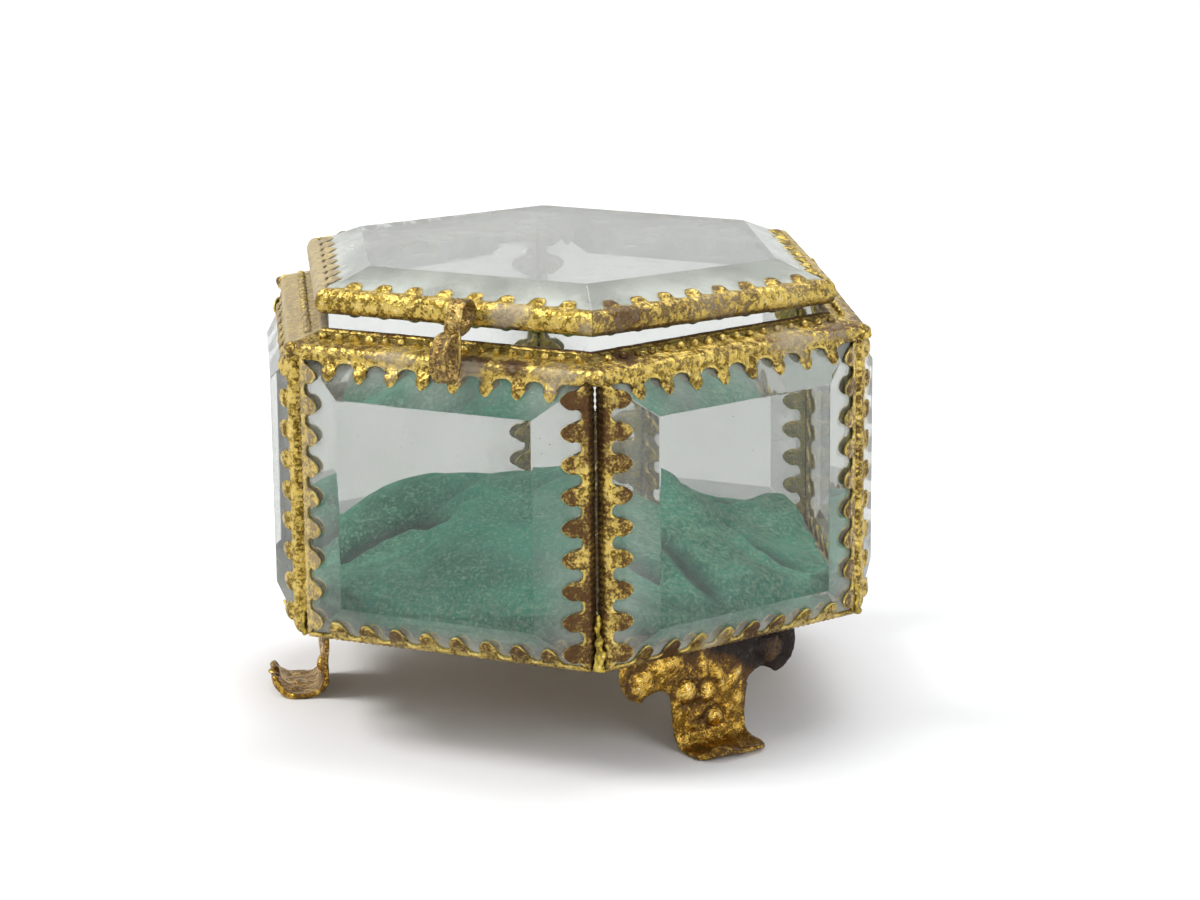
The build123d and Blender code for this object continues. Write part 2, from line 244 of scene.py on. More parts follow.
def add(tree, kind, settings=None, inputs=None):
    """Add one node. An input is a plain value, or the socket that feeds it."""
    made = tree.nodes.new(kind)
    for name, value in (settings or {}).items():
        setattr(made, name, value)
    for name, value in (inputs or {}).items():
        if isinstance(value, bpy.types.NodeSocket):
            tree.links.new(value, made.inputs[name])
        else:
            made.inputs[name].default_value = value
    return made


def got(tree, kind, settings=None, inputs=None, output=0):
    """One output of a node that is added."""
    return add(tree, kind, settings, inputs).outputs[output]


def sums(tree, operation, *values, clamp=False):
    """The result of one arithmetic step on numbers or sockets."""
    settings = {"operation": operation, "use_clamp": clamp}
    return got(tree, "ShaderNodeMath", settings, dict(enumerate(values)))


def times(tree, first, second):
    """The product of two numbers or sockets."""
    return sums(tree, "MULTIPLY", first, second)


def weighted(tree, total, *pairs):
    """total with each socket of the pairs added, times its weight."""
    for socket, weight in pairs:
        total = sums(tree, "MULTIPLY_ADD", socket, weight, total)
    return total


def step_between(tree, value, low, high):
    """0 below low, 1 above high and smooth in between."""
    inputs = {"Value": value, "From Min": low, "From Max": high}
    return got(tree, "ShaderNodeMapRange", {"interpolation_type": "SMOOTHSTEP"}, inputs)


def cloud(tree, where, size, detail=3.0, shift=0.0):
    """Noise whose patches are about size metres across."""
    inputs = {"Vector": where, "Scale": 1 / size, "Detail": detail, "W": shift}
    return got(tree, "ShaderNodeTexNoise", {"noise_dimensions": "4D"}, inputs, "Fac")


def patchy(tree, where, size, detail=3.0, shift=0.0):
    """Noise like cloud, but with its low and high patches told clearly apart."""
    return step_between(tree, cloud(tree, where, size, detail, shift), 0.30, 0.70)


def attribute(tree, name):
    """A number that the mesh holds at each point, or 0 where it has none."""
    return got(tree, "ShaderNodeAttribute", {"attribute_name": name}, None, "Fac")


def colour_of(name):
    """The linear RGBA of one of the panel's colours, or of an sRGB hex code."""
    if name.startswith("#"):
        return linear(name)
    return tuple(getattr(bpy.context.scene.casket_colours, name))


def layered(tree, base, *layers):
    """The base colour under layers of (share, colour name)."""
    shown = base
    for share, name in layers:
        inputs = {0: share, 6: shown, 7: colour_of(name)}
        shown = got(tree, "ShaderNodeMix", {"data_type": "RGBA"}, inputs, 2)
    return shown


def bumped(tree, strength, distance, height):
    """Normals that follow a relief of that height."""
    inputs = {"Strength": strength, "Distance": distance, "Height": height}
    return got(tree, "ShaderNodeBump", None, inputs)


def new_material(name):
    """An empty node material, its tree and the object's own coordinates."""
    made = bpy.data.materials.new(name)
    made.use_nodes = True
    made.node_tree.nodes.clear()
    return made, made.node_tree, got(made.node_tree, "ShaderNodeTexCoord", output="Object")


def surfaced(made, shader):
    """A material that ends in this shader, given as a socket or as principled inputs."""
    tree = made.node_tree
    if isinstance(shader, dict):
        shader = got(tree, "ShaderNodeBsdfPrincipled", None, shader)
    add(tree, "ShaderNodeOutputMaterial", None, {"Surface": shader})
    return made


def gilt_brass(name, gold, old_gold, wear, shine, seed):
    """Stamped brass under worn fire gilding: pale painted highlights on scattered grains, olive
    where it has dulled, browned and pitted where the gold is gone, with dust where it settles. Its
    hollow and tarnish numbers also bring painted shade to low places and painted highlights to
    edges. It reads as old and crusty, not as polished."""
    made, tree, where = new_material(name)
    large = patchy(tree, where, 7 * MM, 4.0, seed)
    middle = patchy(tree, where, 1.15 * MM, 4.0, seed + 3)
    fine = patchy(tree, where, 0.38 * MM, 3.0, seed + 7)
    inputs = {"Vector": where, "Scale": 1 / (0.55 * MM)}
    cells = got(tree, "ShaderNodeTexVoronoi", None, inputs, "Distance")
    spot = sums(tree, "SUBTRACT", 1.0, step_between(tree, cells, 0.14, 0.36))
    pits = times(tree, spot, step_between(tree, middle, 0.25, 0.75))
    # The hollow number browns grooves with patina, puts painted shade on the feet's low relief and
    # sides, and below 0 paints highlights on lips, claw rims and the feet's bosses.
    hollow = attribute(tree, "hollow")
    worn = times(tree, large, 0.34)
    worn = weighted(tree, worn, (hollow, 0.45), (middle, 0.24), (fine, 0.30))
    # The tarnish number holds patina and wear, and also painted shade on some rows of each strip's
    # section.
    worn = sums(tree, "ADD", worn, attribute(tree, "tarnish"))
    browned = step_between(tree, worn, 0.50 - wear, 1.10 - wear)
    blacked = step_between(tree, worn, 1.25 - wear, 1.75 - wear)
    dulled = weighted(tree, times(tree, fine, 0.5), (middle, 0.5), (hollow, 0.3))
    dulled = step_between(tree, dulled, 0.35, 0.75)
    bright = sums(tree, "SUBTRACT", 1.0, dulled)
    # Painted highlights: the pale rubbed colour on scattered fine grains where the gilding is not
    # dulled.
    glints = times(tree, step_between(tree, fine, 0.55, 0.95), bright)
    settled = weighted(tree, attribute(tree, "dusty"), (middle, 0.35), (fine, 0.2))
    dusted = step_between(tree, settled, 0.45, 1.1)
    metal = layered(
        tree,
        colour_of(gold),
        (dulled, old_gold),
        (times(tree, glints, 0.85), "rubbed"),
        (browned, "brown"),
        (times(tree, pits, 0.7), "#4A3514"),
        (blacked, "black"),
        (times(tree, dusted, 0.8), "dust"),
    )
    soiled = sums(tree, "MAXIMUM", times(tree, browned, 0.4), dusted)
    relief = weighted(tree, times(tree, fine, 0.6), (pits, -0.9), (middle, 1.1))
    inputs = {
        "Base Color": metal,
        "Metallic": sums(tree, "SUBTRACT", 1.0, times(tree, soiled, 0.75)),
        "Roughness": weighted(tree, shine, (soiled, 0.30), (dulled, 0.12)),
        "Normal": bumped(tree, 0.9, 0.12 * MM, relief),
    }
    return surfaced(made, inputs)


def bevelled_glass():
    """Old plate glass, ground and polished: clear and sharp at its arrises, faintly green,
    with a film of dust and a few specks. Lamps pass through it to what lies inside."""
    made, tree, where = new_material("bevelled_soda_glass")
    cloudy = patchy(tree, where, 9 * MM, 5.0, 1.0)
    specks = step_between(tree, cloud(tree, where, 0.55 * MM, 1.0, 5.0), 0.72, 0.78)
    border = sums(tree, "POWER", attribute(tree, "border"), 1.6)
    haze = times(tree, attribute(tree, "film"), weighted(tree, 0.25, (cloudy, 0.55)))
    haze = times(tree, haze, weighted(tree, 0.55, (border, 1.9)))
    haze = sums(tree, "MULTIPLY_ADD", specks, 0.35, haze, clamp=True)
    inputs = {
        "Base Color": colour_of("glass"),
        "Roughness": 0.0,
        "IOR": 1.52,
        "Transmission Weight": 1.0,
        "Specular Tint": (0.5, 0.5, 0.5, 1.0),
    }
    clear = got(tree, "ShaderNodeBsdfPrincipled", None, inputs)
    dust = got(tree, "ShaderNodeBsdfDiffuse", None, {"Color": colour_of("haze")})
    surface = got(tree, "ShaderNodeMixShader", None, {0: haze, 1: clear, 2: dust})
    lamp = got(tree, "ShaderNodeLightPath", output="Is Shadow Ray")
    through = got(tree, "ShaderNodeBsdfTransparent", None, {"Color": (0.84, 0.86, 0.84, 1.0)})
    both = got(tree, "ShaderNodeMixShader", None, {0: lamp, 1: surface, 2: through})
    return surfaced(made, both)


def silk():
    """Plain woven silk over wadding: a soft sheen on the folds, fine crossing threads, dye
    that faded unevenly, grey dust where it lies level and painted shade in its creases. Threads
    are drawn 0.35 mm apart, coarser than real ones, so that they show."""
    made, tree, where = new_material("faded_silk")
    faded = step_between(tree, cloud(tree, where, 16 * MM, 4.0, 2.0), 0.35, 0.7)
    specks = step_between(tree, cloud(tree, where, 0.8 * MM, 4.0, 6.0), 0.40, 0.68)
    lint = step_between(tree, cloud(tree, where, 0.42 * MM, 1.0, 8.0), 0.52, 0.66)
    creased = cloud(tree, where, 6 * MM, 3.0, 4.0)
    grey = weighted(tree, 0.16, (attribute(tree, "dusty"), 0.28))
    cloth = layered(
        tree,
        colour_of("silk"),
        (faded, "faded_silk"),
        (times(tree, specks, grey), "#8A977F"),
        (times(tree, lint, 0.42), "#8DB59C"),
        # Painted shade: the creases that the hollow number marks are darkened towards deep green.
        (times(tree, attribute(tree, "hollow"), 0.9), "#0E2A24"),
    )
    threads = []
    for angle in (0.3, math.pi / 2 + 0.3):
        inputs = {"Vector": where, "Rotation": (0.5, 0.4, angle)}
        turned = got(tree, "ShaderNodeMapping", None, inputs)
        inputs = {"Vector": turned, "Scale": 0.314 / (0.35 * MM), "Distortion": 0.4, "Detail": 1.0}
        threads.append(got(tree, "ShaderNodeTexWave", {"wave_type": "BANDS"}, inputs, "Fac"))
    relief = weighted(tree, times(tree, *threads), (creased, 6.0))
    inputs = {
        "Base Color": cloth,
        "Roughness": 0.7,
        "Sheen Weight": 0.06,
        "Sheen Roughness": 0.4,
        "Sheen Tint": (0.7, 0.95, 0.88, 1.0),
        "Specular IOR Level": 0.2,
        "Normal": bumped(tree, 0.35, 0.10 * MM, relief),
    }
    return surfaced(made, inputs)


def pasteboard():
    """Grey-brown pasteboard: matt, with a faint fibre grain and foxed patches."""
    made, tree, where = new_material("pasteboard")
    fibres = cloud(tree, where, 0.5 * MM, 4.0, 1.0)
    foxed = step_between(tree, cloud(tree, where, 9 * MM, 3.0, 2.0), 0.5, 0.8)
    inputs = {
        "Base Color": layered(tree, colour_of("card"), (foxed, "#8A7350")),
        "Roughness": 0.92,
        "Normal": bumped(tree, 0.4, 0.05 * MM, fibres),
    }
    return surfaced(made, inputs)


def studio_floor():
    """Matt white paper sweep, which keeps the light soft and pale."""
    made = new_material("studio_paper")[0]
    return surfaced(made, {"Base Color": colour_of("floor"), "Roughness": 0.9})


# Kinds of brass by finish: the material's name, its bright and its dulled gold, how little of
# it has browned, how matt it is, and where its patches lie.
BRASSES = {
    # Even worn gold, with brown in the hollows.
    "side_brass": ("worn_gilt_brass_sides", "gold", "old_gold", 0.0, 0.28, 0.0),
    # The same, a little less worn.
    "rim_brass": ("worn_gilt_brass_rim", "gold", "old_gold", 0.02, 0.30, 11.0),
    # Matter, with its pits and stains where hands lift the lid.
    "lid_brass": ("pitted_gilt_brass_lid", "gold", "old_gold", 0.0, 0.32, 23.0),
    # Warmer and shinier, so that the bosses catch the light.
    "foot_brass": ("stamped_gilt_brass_feet", "#CFA648", "#8C6A26", 0.02, 0.22, 31.0),
    # Paler and browner, rubbed by fingers.
    "pull_brass": ("rubbed_brass_pull", "#BFA25C", "#7C653F", 0.05, 0.30, 43.0),
    # Dull yellow lumps.
    "solder": ("gilded_solder", "solder", "#8C7A38", -0.10, 0.34, 53.0),
    # Dark grey thread.
    "bare_solder": ("bare_solder", "lead", "#5C574A", 0.0, 0.45, 57.0),
    # Brass that was never gilded, olive and matt.
    "plain_brass": ("plain_sheet_brass", "old_gold", "#7E6430", 0.02, 0.38, 61.0),
}
OTHERS = {"glass": bevelled_glass, "silk": silk, "card": pasteboard, "floor": studio_floor}
MATERIALS = {}


def material(name):
    """One of the finishes, made the first time it is asked for."""
    if name not in MATERIALS:
        brass = BRASSES.get(name)
        MATERIALS[name] = gilt_brass(*brass) if brass else OTHERS[name]()
    return MATERIALS[name]


# ---------------------------------------------------------------- meshes


def linked(name, data):
    """A new object with this data, in the scene."""
    made = bpy.data.objects.new(name, data)
    bpy.context.scene.collection.objects.link(made)
    return made


def from_bmesh(name, work):
    """A new object with the bmesh's mesh. The bmesh is freed."""
    data = bpy.data.meshes.new(name)
    work.to_mesh(data)
    work.free()
    return linked(name, data)


def mesh_object(name, points, faces, numbers=None):
    """A linked mesh object. numbers are named lists with one value for each point."""
    data = bpy.data.meshes.new(name)
    data.from_pydata([tuple(p) for p in points], [], faces)
    made = linked(name, data)
    for label, values in (numbers or {}).items():
        set_number(made, label, values)
    data.update()
    return made


def modify(piece, name, kind, **settings):
    """Add a modifier with these settings to a piece."""
    made = piece.modifiers.new(name, kind)
    for label, value in settings.items():
        setattr(made, label, value)


def band(low, high, closed=False, flipped=False):
    """Faces between two rows of points, which close to rings if closed."""
    pairs = list(zip(low, high))
    nexts = pairs[1:] + pairs[:1] if closed else pairs[1:]
    if flipped:
        return [(a, b, d, c) for (a, b), (c, d) in zip(pairs, nexts)]
    return [(a, c, d, b) for (a, b), (c, d) in zip(pairs, nexts)]


def face_dirs(angle):
    """Outward and along directions of one face, seen from outside with z up."""
    turn = math.radians(angle)
    return Vector((math.cos(turn), math.sin(turn), 0)), Vector((-math.sin(turn), math.cos(turn), 0))


def placing(x_dir, p_dir, q_dir, origin):
    """The matrix that carries local x, p and q to these directions at origin."""
    made = Matrix.Identity(4)
    for column, axis in enumerate((x_dir, p_dir, q_dir, origin)):
        for line in range(3):
            made[line][column] = axis[line]
    return made


def cad_copy(node, name, planar=True):
    """A merged copy of a CAD node, with flat faces joined up if it is planar."""
    data = frame["nodes"][node].data.copy()
    data.materials.clear()
    made = linked(name, data)
    work = bmesh.new()
    work.from_mesh(data)
    bmesh.ops.remove_doubles(work, verts=work.verts, dist=0.003 * MM)
    if planar:
        flat = math.radians(1)
        bmesh.ops.dissolve_limit(work, angle_limit=flat, verts=work.verts, edges=work.edges)
    bmesh.ops.recalc_face_normals(work, faces=work.faces)
    work.to_mesh(data)
    work.free()
    return made


def shade(piece, smooth=True):
    """Smooth or flat shading on every face."""
    piece.data.polygons.foreach_set("use_smooth", [smooth] * len(piece.data.polygons))


def apply_modifiers(piece):
    """Turn a piece with live modifiers into its plain mesh."""
    graph = bpy.context.evaluated_depsgraph_get()
    data = bpy.data.meshes.new_from_object(piece.evaluated_get(graph))
    old = piece.data
    piece.modifiers.clear()
    piece.data = data
    bpy.data.meshes.remove(old)
    return piece


def finish_piece(piece, finish, body, slot, *nodes):
    """Give a piece its material, hang it on the body it rides on and hide the CAD nodes it stands
    for.
    """
    piece.data.materials.clear()
    piece.data.materials.append(material(finish))
    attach(piece, body)
    if nodes:
        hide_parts(*nodes)


def set_points(piece, points):
    """Move a piece's points to these places."""
    piece.data.vertices.foreach_set("co", points.astype(np.float32).ravel())
    piece.data.update()


def set_number(piece, name, values):
    """Store one number at each point of a piece."""
    found = piece.data.attributes.get(name)
    made = found or piece.data.attributes.new(name, "FLOAT", "POINT")
    made.data.foreach_set("value", np.asarray(values, np.float32))


def numbers_of(piece, name):
    """The number that each point of a piece holds under this name, or 0."""
    held = np.zeros(len(piece.data.vertices), np.float32)
    found = piece.data.attributes.get(name)
    if found:
        found.data.foreach_get("value", held)
    return held.astype(float)


def age(piece, tarnish=0.0, dusty=0.0, marks=()):
    """Add tarnish and dust at each point: an even share, and round marks of (place in
    millimetres, radius in millimetres, tarnish, dust)."""
    points = points_of(piece) / MM
    dark = numbers_of(piece, "tarnish") + tarnish
    grey = numbers_of(piece, "dusty") + dusty
    for place, radius, more_dark, more_grey in marks:
        away = np.linalg.norm(points - np.array(place), axis=1)
        near = np.clip(1.3 - away / radius, 0, 1)
        dark += more_dark * near
        grey += more_grey * near
    set_number(piece, "tarnish", dark)
    set_number(piece, "dusty", grey)


# ---------------------------------------------------------------- geometry node trees


def new_tree(name, sockets):
    """A node group with one Geometry output. sockets gives the kind of each input."""
    tree = bpy.data.node_groups.new(name, "GeometryNodeTree")
    for label, kind in sockets.items():
        tree.interface.new_socket(label, in_out="INPUT", socket_type="NodeSocket" + kind)
    tree.interface.new_socket("Geometry", in_out="OUTPUT", socket_type="NodeSocketGeometry")
    return tree, add(tree, "NodeGroupInput").outputs, add(tree, "NodeGroupOutput").inputs[0]


def shape_of(tree, source):
    """The geometry of an object."""
    return got(tree, "GeometryNodeObjectInfo", None, {"Object": source}, "Geometry")


def named(tree, name):
    """The number that a mesh holds at each point under this name."""
    settings = {"data_type": "FLOAT"}
    return got(tree, "GeometryNodeInputNamedAttribute", settings, {"Name": name})


def vectors(tree, operation, *values, **others):
    """The result of one step on vectors."""
    inputs = {**dict(enumerate(values)), **others}
    return got(tree, "ShaderNodeVectorMath", {"operation": operation}, inputs)


def row_of_points(tree, given):
    """Points along x, centred on the origin, as many as Count and a Pitch apart."""
    run = times(tree, sums(tree, "SUBTRACT", given["Count"], 1.0), given["Pitch"])
    start = got(tree, "ShaderNodeCombineXYZ", None, {"X": times(tree, run, -0.5)})
    offset = got(tree, "ShaderNodeCombineXYZ", None, {"X": given["Pitch"]})
    inputs = {"Count": given["Count"], "Start Location": start, "Offset": offset}
    return got(tree, "GeometryNodeMeshLine", {"mode": "OFFSET"}, inputs)


def copies(tree, points, shape, **others):
    """A copy of a shape on each point."""
    inputs = {"Points": points, "Instance": shape, **others}
    return got(tree, "GeometryNodeInstanceOnPoints", None, inputs)


def joined(tree, *parts):
    """All parts as one geometry."""
    both = add(tree, "GeometryNodeJoinGeometry")
    for part in parts:
        tree.links.new(part, both.inputs[0])
    return both.outputs[0]


def dressed(tree, geometry, given, result):
    """End a tree in plain, smooth geometry with its finish."""
    real = got(tree, "GeometryNodeRealizeInstances", None, {0: geometry})
    soft = got(tree, "GeometryNodeSetShadeSmooth", None, {"Geometry": real})
    inputs = {"Geometry": soft, "Material": given["Finish"]}
    tree.links.new(got(tree, "GeometryNodeSetMaterial", None, inputs), result)
    return tree


def row_tree():
    """Copies of one object in a row along x, centred on the origin."""
    sockets = {"Copy": "Object", "Count": "Int", "Pitch": "Float"}
    tree, given, result = new_tree("Row of copies", sockets)
    placed = copies(tree, row_of_points(tree, given), shape_of(tree, given["Copy"]))
    tree.links.new(got(tree, "GeometryNodeRealizeInstances", None, {0: placed}), result)
    return tree


def strip_tree():
    """A stamped strip: a row of clawed cells between two plain ends, cut at its mitres and
    bent a little out of true, the claws more than the strip."""
    row = {"node_tree": tree_named("row")}
    sockets = {
        "Claw cell": "Object",
        "Plain end": "Object",
        "Claws": "Int",
        "Pitch": "Float",
        "End length": "Float",
        "Waviness": "Float",
        "Claw lift": "Float",
        "Seed": "Float",
        "Finish": "Material",
    }
    tree, given, result = new_tree("Clawed strip", sockets)
    run = times(tree, given["Claws"], given["Pitch"])
    ends = {0: given["Plain end"], 1: 2, 2: sums(tree, "ADD", run, given["End length"])}
    claws = {0: given["Claw cell"], 1: given["Claws"], 2: given["Pitch"]}
    both = joined(tree, *(got(tree, "GeometryNodeGroup", row, what) for what in (ends, claws)))
    # No point reaches past the mitre of its own row.
    limit = named(tree, "limit")
    place = got(tree, "GeometryNodeInputPosition")
    x, y, z = add(tree, "ShaderNodeSeparateXYZ", None, {0: place}).outputs
    inputs = {"Value": x, "Min": times(tree, limit, -1.0), "Max": limit}
    held = got(tree, "ShaderNodeClamp", None, inputs)
    kept = got(tree, "ShaderNodeCombineXYZ", None, {0: held, 1: y, 2: z})
    cut = got(tree, "GeometryNodeSetPosition", None, {"Geometry": both, "Position": kept})
    inputs = {"Geometry": cut, "Distance": 0.01 * MM}
    whole = got(tree, "GeometryNodeMergeByDistance", None, inputs)
    # Hand work: a slow wave over the strip, and claws that stand off unevenly.
    loose = named(tree, "loose")
    inputs = {"Vector": place, "W": given["Seed"], "Scale": 1 / (3.2 * MM), "Detail": 1.0}
    wave = add(tree, "ShaderNodeTexNoise", {"noise_dimensions": "4D"}, inputs).outputs
    centred = vectors(tree, "SUBTRACT", wave["Color"], (0.5, 0.5, 0.5))
    amount = weighted(tree, given["Waviness"], (loose, given["Waviness"]))
    shift = vectors(tree, "SCALE", centred, Scale=amount)
    lift = times(tree, times(tree, loose, wave["Fac"]), given["Claw lift"])
    outward = vectors(tree, "SCALE", got(tree, "GeometryNodeInputNormal"), Scale=lift)
    moved = vectors(tree, "ADD", shift, outward)
    bent = got(tree, "GeometryNodeSetPosition", None, {"Geometry": whole, "Offset": moved})
    return dressed(tree, bent, given, result)


def bead_tree():
    """A row of round beads along x, each a little larger or smaller than the next."""
    sockets = {
        "Count": "Int",
        "Pitch": "Float",
        "Radius": "Float",
        "Seed": "Int",
        "Finish": "Material",
    }
    tree, given, result = new_tree("Row of beads", sockets)
    inputs = {"Segments": 14, "Rings": 9, "Radius": given["Radius"]}
    bead = got(tree, "GeometryNodeMeshUVSphere", None, inputs, "Mesh")
    inputs = {2: 0.8, 3: 1.1, "Seed": given["Seed"]}
    size = got(tree, "FunctionNodeRandomValue", {"data_type": "FLOAT"}, inputs, 1)
    return dressed(tree, copies(tree, row_of_points(tree, given), bead, Scale=size), given, result)


def reeded_tree():
    """A strip swept along a path, with reeds laid across it at an even pitch."""
    sockets = {
        "Path": "Object",
        "Section": "Object",
        "Reed": "Object",
        "Across": "Vector",
        "Pitch": "Float",
        "Groove": "Float",
        "Finish": "Material",
    }
    tree, given, result = new_tree("Reeded strip", sockets)
    path, section, reed = (shape_of(tree, given[name]) for name in ("Path", "Section", "Reed"))
    inputs = {"Curve": path, "Normal": given["Across"]}
    path = got(tree, "GeometryNodeSetCurveNormal", {"mode": "FREE"}, inputs)
    by_length = {"mode": "LENGTH"}
    inputs = {"Curve": path, "Length": times(tree, given["Pitch"], 0.5)}
    fine = got(tree, "GeometryNodeResampleCurve", by_length, inputs)
    # The strip is dark in the groove between its two plain ribs.
    place = got(tree, "GeometryNodeInputPosition")
    aside = sums(tree, "ABSOLUTE", got(tree, "ShaderNodeSeparateXYZ", None, {0: place}))
    inside = sums(tree, "LESS_THAN", aside, given["Groove"])
    settings = {"data_type": "FLOAT", "domain": "POINT"}
    inputs = {"Geometry": section, "Name": "hollow", "Value": inside}
    marked = got(tree, "GeometryNodeStoreNamedAttribute", settings, inputs)
    inputs = {"Curve": fine, "Profile Curve": marked}
    swept = got(tree, "GeometryNodeCurveToMesh", None, inputs)
    inputs = {"Curve": path, "Length": given["Pitch"]}
    stops = add(tree, "GeometryNodeCurveToPoints", by_length, inputs).outputs
    reeds = copies(tree, stops["Points"], reed, Rotation=stops["Rotation"])
    return dressed(tree, joined(tree, reeds, swept), given, result)


MAKERS = {"row": row_tree, "strip": strip_tree, "beads": bead_tree, "reeded": reeded_tree}
TREES = {}


def tree_named(name):
    """One of the node trees, made the first time it is asked for."""
    if name not in TREES:
        TREES[name] = MAKERS[name]()
    return TREES[name]


def grow(name, kind, inputs):
    """The plain mesh that a node tree makes from these inputs, as a new piece."""
    tree = tree_named(kind)
    piece = mesh_object(name, [], [])
    made = piece.modifiers.new("grow", "NODES")
    made.node_group = tree
    sockets = {item.name: item for item in tree.interface.items_tree if item.in_out == "INPUT"}
    for label, value in inputs.items():
        made[sockets[label].identifier] = value
    bpy.context.view_layer.update()
    return apply_modifiers(piece)


# ---------------------------------------------------------------- stamped strip


def rounded(corners, radii, steps=4):
    """The corners of a section with each inner one rounded, as (p, q) rows."""
    rows = [Vector(corners[0])]
    spans = [(Vector(b) - Vector(a)).length * 0.48 for a, b in zip(corners, corners[1:])]
    spans[0] *= 1.8
    spans[-1] *= 1.8
    for i, radius in enumerate(radii, 1):
        here = Vector(corners[i])
        back = (Vector(corners[i - 1]) - here).normalized()
        on = (Vector(corners[i + 1]) - here).normalized()
        cut = min(radius / math.tan(back.angle(on) / 2), spans[i - 1], spans[i])
        start, end = here + back * cut, here + on * cut
        if cut < 1e-7:
            rows.append(here)
            continue
        for step in range(steps + 1):
            t = step / steps
            rows.append(start * (1 - t) ** 2 + here * 2 * t * (1 - t) + end * t * t)
    rows.append(Vector(corners[-1]))
    return rows


def filled(rows, most):
    """The rows with more between them wherever they lie further apart than most."""
    made = [rows[0]]
    for before, after in zip(rows, rows[1:]):
        parts = max(1, math.ceil((after - before).length / most))
        made += [before.lerp(after, (i + 1) / parts) for i in range(parts)]
    return made


class Section:
    """The section of a strip: its rows, their normals, how far each may reach along x, how
    strongly the fine ridges show on it, how much painted shade it takes and how dusty it is."""

    def __init__(self, rows, limit, ridged, painted_shade=None, dusted=None):
        self.rows = rows
        self.tangents = []
        for i in range(len(rows)):
            before, after = rows[max(i - 1, 0)], rows[min(i + 1, len(rows) - 1)]
            self.tangents.append((after - before).normalized())
        self.normals = [Vector((-t.y, t.x)) for t in self.tangents]
        self.limits = [limit(row) for row in rows]
        self.ridged = [ridged(row) for row in rows]
        self.painted_shade = [painted_shade(row) if painted_shade else 0.0 for row in rows]
        self.dusted = [dusted(row) if dusted else 0.0 for row in rows]


# A claw's columns and rows of points, and the columns of the hollow beside it.
CLAW_COLUMNS, CLAW_ROWS, VALLEY_COLUMNS = 18, 7, 6
# Its outline is (1 - |a| ** CLAW_BROAD) ** CLAW_FULL over its width from -1 to 1.
CLAW_BROAD, CLAW_FULL = 1.9, 0.62
# Share of its reach at which a claw's rounded outline starts.
CLAW_SHOULDER = 0.16
# Waves of the fine ridges over one pitch, and of the fine lines over one claw.
RIDGES, LINES = 5, 2.6
# Painted highlight on the rolled lip between claws and on the rim of a claw, given as negative
# hollow numbers: a hollow is above 0.
LIP_HIGHLIGHT, CLAW_RIM_HIGHLIGHT = -0.8, -0.9


